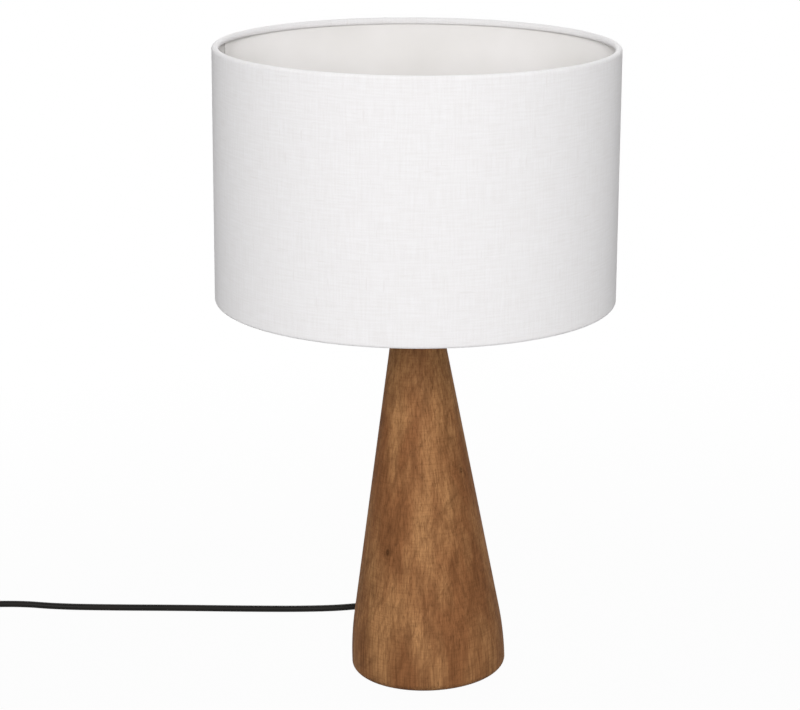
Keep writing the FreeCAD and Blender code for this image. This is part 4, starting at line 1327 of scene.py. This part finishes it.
@dataclass
class Lampholder:
    """The holder's threaded skirt, whose thread shows above the clamping ring."""

    shop: Workshop
    bore: float = 17.45 * MM
    spigot: Station = (18.4 * MM, 279.0 * MM)
    joint: Station = (20.5 * MM, 283.0 * MM)
    shoulder: Station = (23.0 * MM, 291.5 * MM)
    seat: Station = (19.75 * MM, 294.0 * MM)
    top: float = 318.0 * MM
    edge: float = 0.5 * MM
    thread: Station = (0.45 * MM, 2.5 * MM)
    thread_end: float = 2.0 * MM  # plain rim above the thread

    def build(self) -> None:
        """Builds the skirt."""
        depth, pitch = self.thread
        radius, seat = self.seat
        wide, shoulder = self.shoulder
        out, joint = self.joint
        line = [(self.bore, self.spigot[1]), self.spigot, (self.spigot[0], joint), self.joint]
        line += [(out, shoulder), (wide, shoulder)]
        line += arc(wide - self.edge, seat - self.edge, self.edge, 0, 90, 3)
        line += ripples(radius, depth, seat, self.top - self.thread_end, pitch)
        line += arc(radius - self.edge, self.top - self.edge, self.edge, 0, 90, 3)
        line += [(self.bore, self.top), (self.bore, self.spigot[1])]
        skirt = self.shop.turned("threaded_skirt", Slot.HOLDER_PLASTIC, line, radius)
        self.shop.fit(skirt, Body.COLUMN, Slot.HOLDER_PLASTIC, "holder_skirt")


@dataclass
class CordSet:
    """The cord in two free stretches, either side of its hand switch.

    All of its sizes but the diameter are in millimetres.
    """

    shop: Workshop
    diameter: float = 5.0 * MM
    lead_route: tuple[Point, ...] = (
        (0, 79.8, 14),
        (0, 97, 14),
        (-10, 117, 8.5),
        (-33, 127, 3.6),
        (-60, 121.5, 2.5),
        (-92, 120.6, 2.5),
        (-140, 125, 2.5),
        (-195, 131.6, 2.5),
        (-248, 136.2, 2.7),
        (-290, 136.8, 4.6),
        (-320, 136, 8.5),
        (-345, 136, 8.5),
    )
    tail_route: tuple[Point, ...] = (
        (-405, 136, 8.5),
        (-423, 136, 8.5),
        (-437.7, 127.5, 7.0),
        (-446.2, 112.8, 5.0),
        (-446.9, 96, 3.65),
    )
    plug_route: tuple[Point, ...] = (
        (-446.9, 53, 20.3),
        (-443.5, 35, 14.5),
        (-433, 19, 9.0),
        (-417, 9, 6.85),
        (-400, 9, 6.85),
    )
    coil_turns: int = 7
    coil_layers: int = 4
    coil_radius: float = 27.5
    coil_pitch: float = 5.55
    coil_middle: Point = (-414.544, 75.0, 3.65)
    per_turn: int = 16
    inner_route: tuple[Point, ...] = ((0, 79.8, 14), (0, 36, 14), (0, 0, 14), (0, 0, 50), (0, 0, 269))
    strap_reach: tuple[float, float] = (19.2, 35.2)
    strap_rise: tuple[float, float] = (0.4, 23.55)
    strap_size: tuple[float, float] = (10.0, 0.8)
    strap_lap: float = 10.0
    strap_tail: float = 1.2  # how far inside the lap its other end starts
    strap_lift: float = 1.1  # the lap's rise, in thicknesses
    strap_bend: float = 2.0
    strap_eased: float = 0.2
    rib: Point = (1.3, 15.0, 0.7)
    rib_eased: float = 0.3
    rib_pitch: float = 2.6
    switch_ribs: dict[str, tuple[Point, int]] = field(
        default_factory=lambda: {"near": ((-360.9, 136, 17.0), 4), "far": ((-396.9, 136, 17.0), 4)}
    )
    plug_ribs: tuple[Point, int] = ((-379, 9, 13.7), 5)

    def strap(self) -> bpy.types.Object:
        """The strap round the wound cord, its end lapped on top.

        Returns:
            The strap, in place.
        """
        width, thick = self.strap_size
        near, far = self.strap_reach[0] - thick / 2, self.strap_reach[1] + thick / 2
        low, high = self.strap_rise
        lapped = high + thick * self.strap_lift
        corners = [(near + self.strap_tail, high), (far, high), (far, low), (near, low)]
        corners += [(near, lapped), (near + self.strap_lap, lapped)]
        x, y, _ = self.coil_middle
        line = [((x + a) * MM, z * MM) for a, z in rounded(corners, self.strap_bend)]
        strap = band("tie_strap", line, width * MM, thick * MM, self.strap_eased * MM)
        strap.data.transform(Matrix.Translation((0, y * MM, 0)))
        return strap

    def grips(self, name: str, start: Point, count: int) -> bpy.types.Object:
        """A row of grip ribs across the cord's line.

        Args:
            name: the piece's name.
            start: the first rib's middle, in millimetres.
            count: how many ribs there are.

        Returns:
            The ribs, in place.
        """
        rib = box_mesh(tuple(side * MM for side in self.rib), self.rib_eased * MM)
        finish = self.shop.materials[Slot.PLUG if name == "plug_grip" else Slot.SWITCH]
        ribs = grown(name, rib, self.shop.along, Count=count, Pitch=self.rib_pitch * MM, Finish=finish)
        ribs.data.transform(Matrix.Translation([c * MM for c in start]))
        return sharpened(ribs)

    def coil(self) -> list[Point]:
        """Control points of the wound length: in and out, a layer higher at each reversal.

        Returns:
            The points.
        """
        spread = self.coil_pitch * self.coil_turns / self.coil_layers
        outer = self.coil_radius + spread / 2
        per_layer = self.coil_turns / self.coil_layers
        points = []
        for k in range(self.coil_turns * self.per_turn + 1):
            turns = k / self.per_turn
            layer = turns / per_layer
            swing = abs(layer - 2 * round(layer / 2))
            radius = (outer - spread * swing) / math.cos(math.pi / self.per_turn)
            starts = [per_layer * n for n in range(1, self.coil_layers)]
            climbs = [min(max((turns - start) * 2 + 0.5, 0.0), 1.0) for start in starts]
            height = self.coil_pitch * sum(c * c * (3 - 2 * c) for c in climbs)
            angle = math.pi + math.tau * turns
            x, y, z = self.coil_middle
            points.append((x + radius * math.cos(angle), y + radius * math.sin(angle), z + height))
        return points

    def strand(self, name: str, route: Sequence[Point]) -> bpy.types.Object:
        """A smooth round cord through a route of control points in millimetres.

        Args:
            name: the piece's name.
            route: the control points.

        Returns:
            The cord, a curve of one open spline.
        """
        curve = bpy.data.curves.new(name, "CURVE")
        curve.dimensions = "3D"
        curve.bevel_depth, curve.bevel_resolution = self.diameter / 2, 5
        curve.use_fill_caps = True
        spline = curve.splines.new("NURBS")
        spline.points.add(len(route) - 1)
        for point, place in zip(spline.points, route):
            point.co = (*(c * MM for c in place), 1.0)
        spline.order_u = 3
        spline.use_endpoint_u = True
        curve.resolution_u = 8
        cord = bpy.data.objects.new(name, curve)
        bpy.context.scene.collection.objects.link(cord)
        return cord

    def build(self) -> None:
        lead = self.strand("lead_cord", self.lead_route)
        self.shop.fit(lead, Body.COLUMN, Slot.JACKET, "cord_lead")
        wound = self.strand("wound_cord", [*self.tail_route, *self.coil(), *self.plug_route])
        self.shop.fit(wound, Body.COLUMN, Slot.JACKET, "cord_tail", "cord_coil", "plug_lead")
        inner = self.strand("inner_cord", self.inner_route)
        self.shop.fit(inner, Body.COLUMN, Slot.JACKET, "inner_lead")
        strap = self.strap()
        switch_grips = [self.grips(f"switch_grip_{side}", *row) for side, row in self.switch_ribs.items()]
        plug_grips = self.grips("plug_grip", *self.plug_ribs)
        self.shop.fit(strap, Body.COLUMN, Slot.STRAP, "cord_tie")
        self.shop.fit(plug_grips, Body.COLUMN, Slot.PLUG)
        for grip in switch_grips:
            self.shop.fit(grip, Body.COLUMN, Slot.SWITCH)
        switch = ["switch_base", "switch_cover", "switch_rocker"]
        switch += ["switch_screws", "switch_strips", "switch_wires"]


@dataclass(frozen=True)
class Lamp:
    """A soft square lamp: where it hangs, its side and its watts."""

    name: str
    place: Point
    size: float
    power: float


@dataclass
class Studio:
    """The floor, the lamps and the camera."""

    eye: Point = (0.01605, -1.7531, 0.7073)
    forward: Point = (-0.01590247, 0.96558868, -0.25958738)
    upward: Point = (0.03125699, 0.2599734, 0.96510975)
    lens: float = 115.93
    floor_white: tuple[float, float] = (0.97, 1.0)
    floor_fade: tuple[float, float] = (0.3, 0.9)
    floor_paint: str = "#a0a0a0"
    floor_reach: float = 12.0
    sky: tuple[float, float] = (0.03, 0.5)  # its light at the horizon and overhead
    aim: Point = (0, 0, 0.25)
    lamps: tuple[Lamp, ...] = (
        Lamp("key", (0.0, -2.3, 1.15), 1.0, 46.5),
        Lamp("back", (0.3, 2.2, 1.2), 1.0, 34.0),
    )

    def camera(self) -> None:
        """Puts the camera at the photograph's place."""
        data = bpy.data.cameras.new("camera")
        data.sensor_fit, data.sensor_width, data.lens = "HORIZONTAL", 36.0, self.lens
        data.clip_start, data.clip_end = 0.05, 50.0
        camera = bpy.data.objects.new("camera", data)
        ahead = Vector(self.forward).normalized()
        right = ahead.cross(Vector(self.upward)).normalized()
        above = right.cross(ahead)
        turned = Matrix((right, above, -ahead)).transposed().to_4x4()
        camera.matrix_world = Matrix.Translation(self.eye) @ turned
        bpy.context.scene.collection.objects.link(camera)
        bpy.context.scene.camera = camera

    def hang(self, lamp: Lamp) -> None:
        """Hangs a studio lamp, turned to the middle of the object.

        Args:
            lamp: what to hang, and where.
        """
        data = bpy.data.lights.new(lamp.name, "AREA")
        data.shape, data.size, data.energy = "SQUARE", lamp.size, lamp.power
        hung = bpy.data.objects.new(lamp.name, data)
        way = Vector(self.aim) - Vector(lamp.place)
        turn = way.to_track_quat("-Z", "Y").to_matrix().to_4x4()
        hung.matrix_world = Matrix.Translation(lamp.place) @ turn
        bpy.context.scene.collection.objects.link(hung)

    def world(self) -> None:
        """White where the camera and its reflections look, and a soft fill for the rest."""
        world = bpy.data.worlds.new("studio")
        world.use_nodes = True
        bpy.context.scene.world = world
        tree = world.node_tree
        tree.nodes.clear()
        seen = self.seen(tree)
        way = add(tree, "ShaderNodeTexCoord", out="Generated")
        up = add(tree, "ShaderNodeSeparateXYZ", {0: way}, out="Z")
        soft = levels(tree, up, 0.0, 1.0, *self.sky)
        strength = add(tree, "ShaderNodeMix", {0: seen, 2: soft, 3: 1.0})
        light = add(tree, "ShaderNodeBackground", {"Color": (1, 1, 1, 1), "Strength": strength})
        add(tree, "ShaderNodeOutputWorld", {"Surface": light})

    def seen(self, tree: bpy.types.NodeTree) -> bpy.types.NodeSocket:
        """1 for a ray from the camera, or one that a glossy or clear surface sends on.

        Args:
            tree: the tree of the floor or the world.

        Returns:
            The socket, 1 or 0.
        """
        path = add(tree, "ShaderNodeLightPath").node
        names = ("Is Camera Ray", "Is Glossy Ray", "Is Transmission Ray")
        first, second, third = (path.outputs[n] for n in names)
        return sums(tree, "MAXIMUM", sums(tree, "MAXIMUM", first, second), third)

    def floor(self) -> None:
        """A wide white floor that keeps a soft shadow."""
        mesh = bpy.data.meshes.new("studio_floor")
        far = self.floor_reach
        corners = [(-far, -far, 0), (far, -far, 0), (far, far, 0), (-far, far, 0)]
        mesh.from_pydata(corners, [], [(0, 1, 2, 3)])
        floor = bpy.data.objects.new("studio_floor", mesh)
        bpy.context.scene.collection.objects.link(floor)
        material = bpy.data.materials.new("white_studio_floor")
        material.use_nodes = True
        tree = material.node_tree
        tree.nodes.clear()
        paint = add(tree, "ShaderNodeBsdfDiffuse", {"Color": linear(self.floor_paint)})
        white = add(tree, "ShaderNodeEmission", {"Color": (1, 1, 1, 1), "Strength": 1.0})
        place = add(tree, "ShaderNodeTexCoord", out="Object")
        away = add(tree, "ShaderNodeVectorMath", {0: place}, out="Value", operation="LENGTH")
        faded = levels(tree, away, *self.floor_fade, *self.floor_white)
        share = sums(tree, "MULTIPLY", self.seen(tree), faded)
        surface = add(tree, "ShaderNodeMixShader", {0: share, 1: paint, 2: white})
        add(tree, "ShaderNodeOutputMaterial", {"Surface": surface})
        mesh.materials.append(material)

    def build(self) -> None:
        """Builds the studio."""
        bpy.context.scene.view_settings.view_transform = "Standard"
        self.camera()
        self.world()
        self.floor()
        for lamp in self.lamps:
            self.hang(lamp)


def main() -> None:
    """Builds the lamp in order."""
    logging.basicConfig(level=logging.INFO, format="%(message)s")
    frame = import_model()
    shop = Workshop(frame, finishes())
    Studio().build()
    shop.dress_nodes()
    CordSet(shop).build()
    Column(shop).build()
    Drum(shop).build()
    Lampholder(shop).build()
    Bulb(shop).build()


if __name__ == "__main__":
    main()
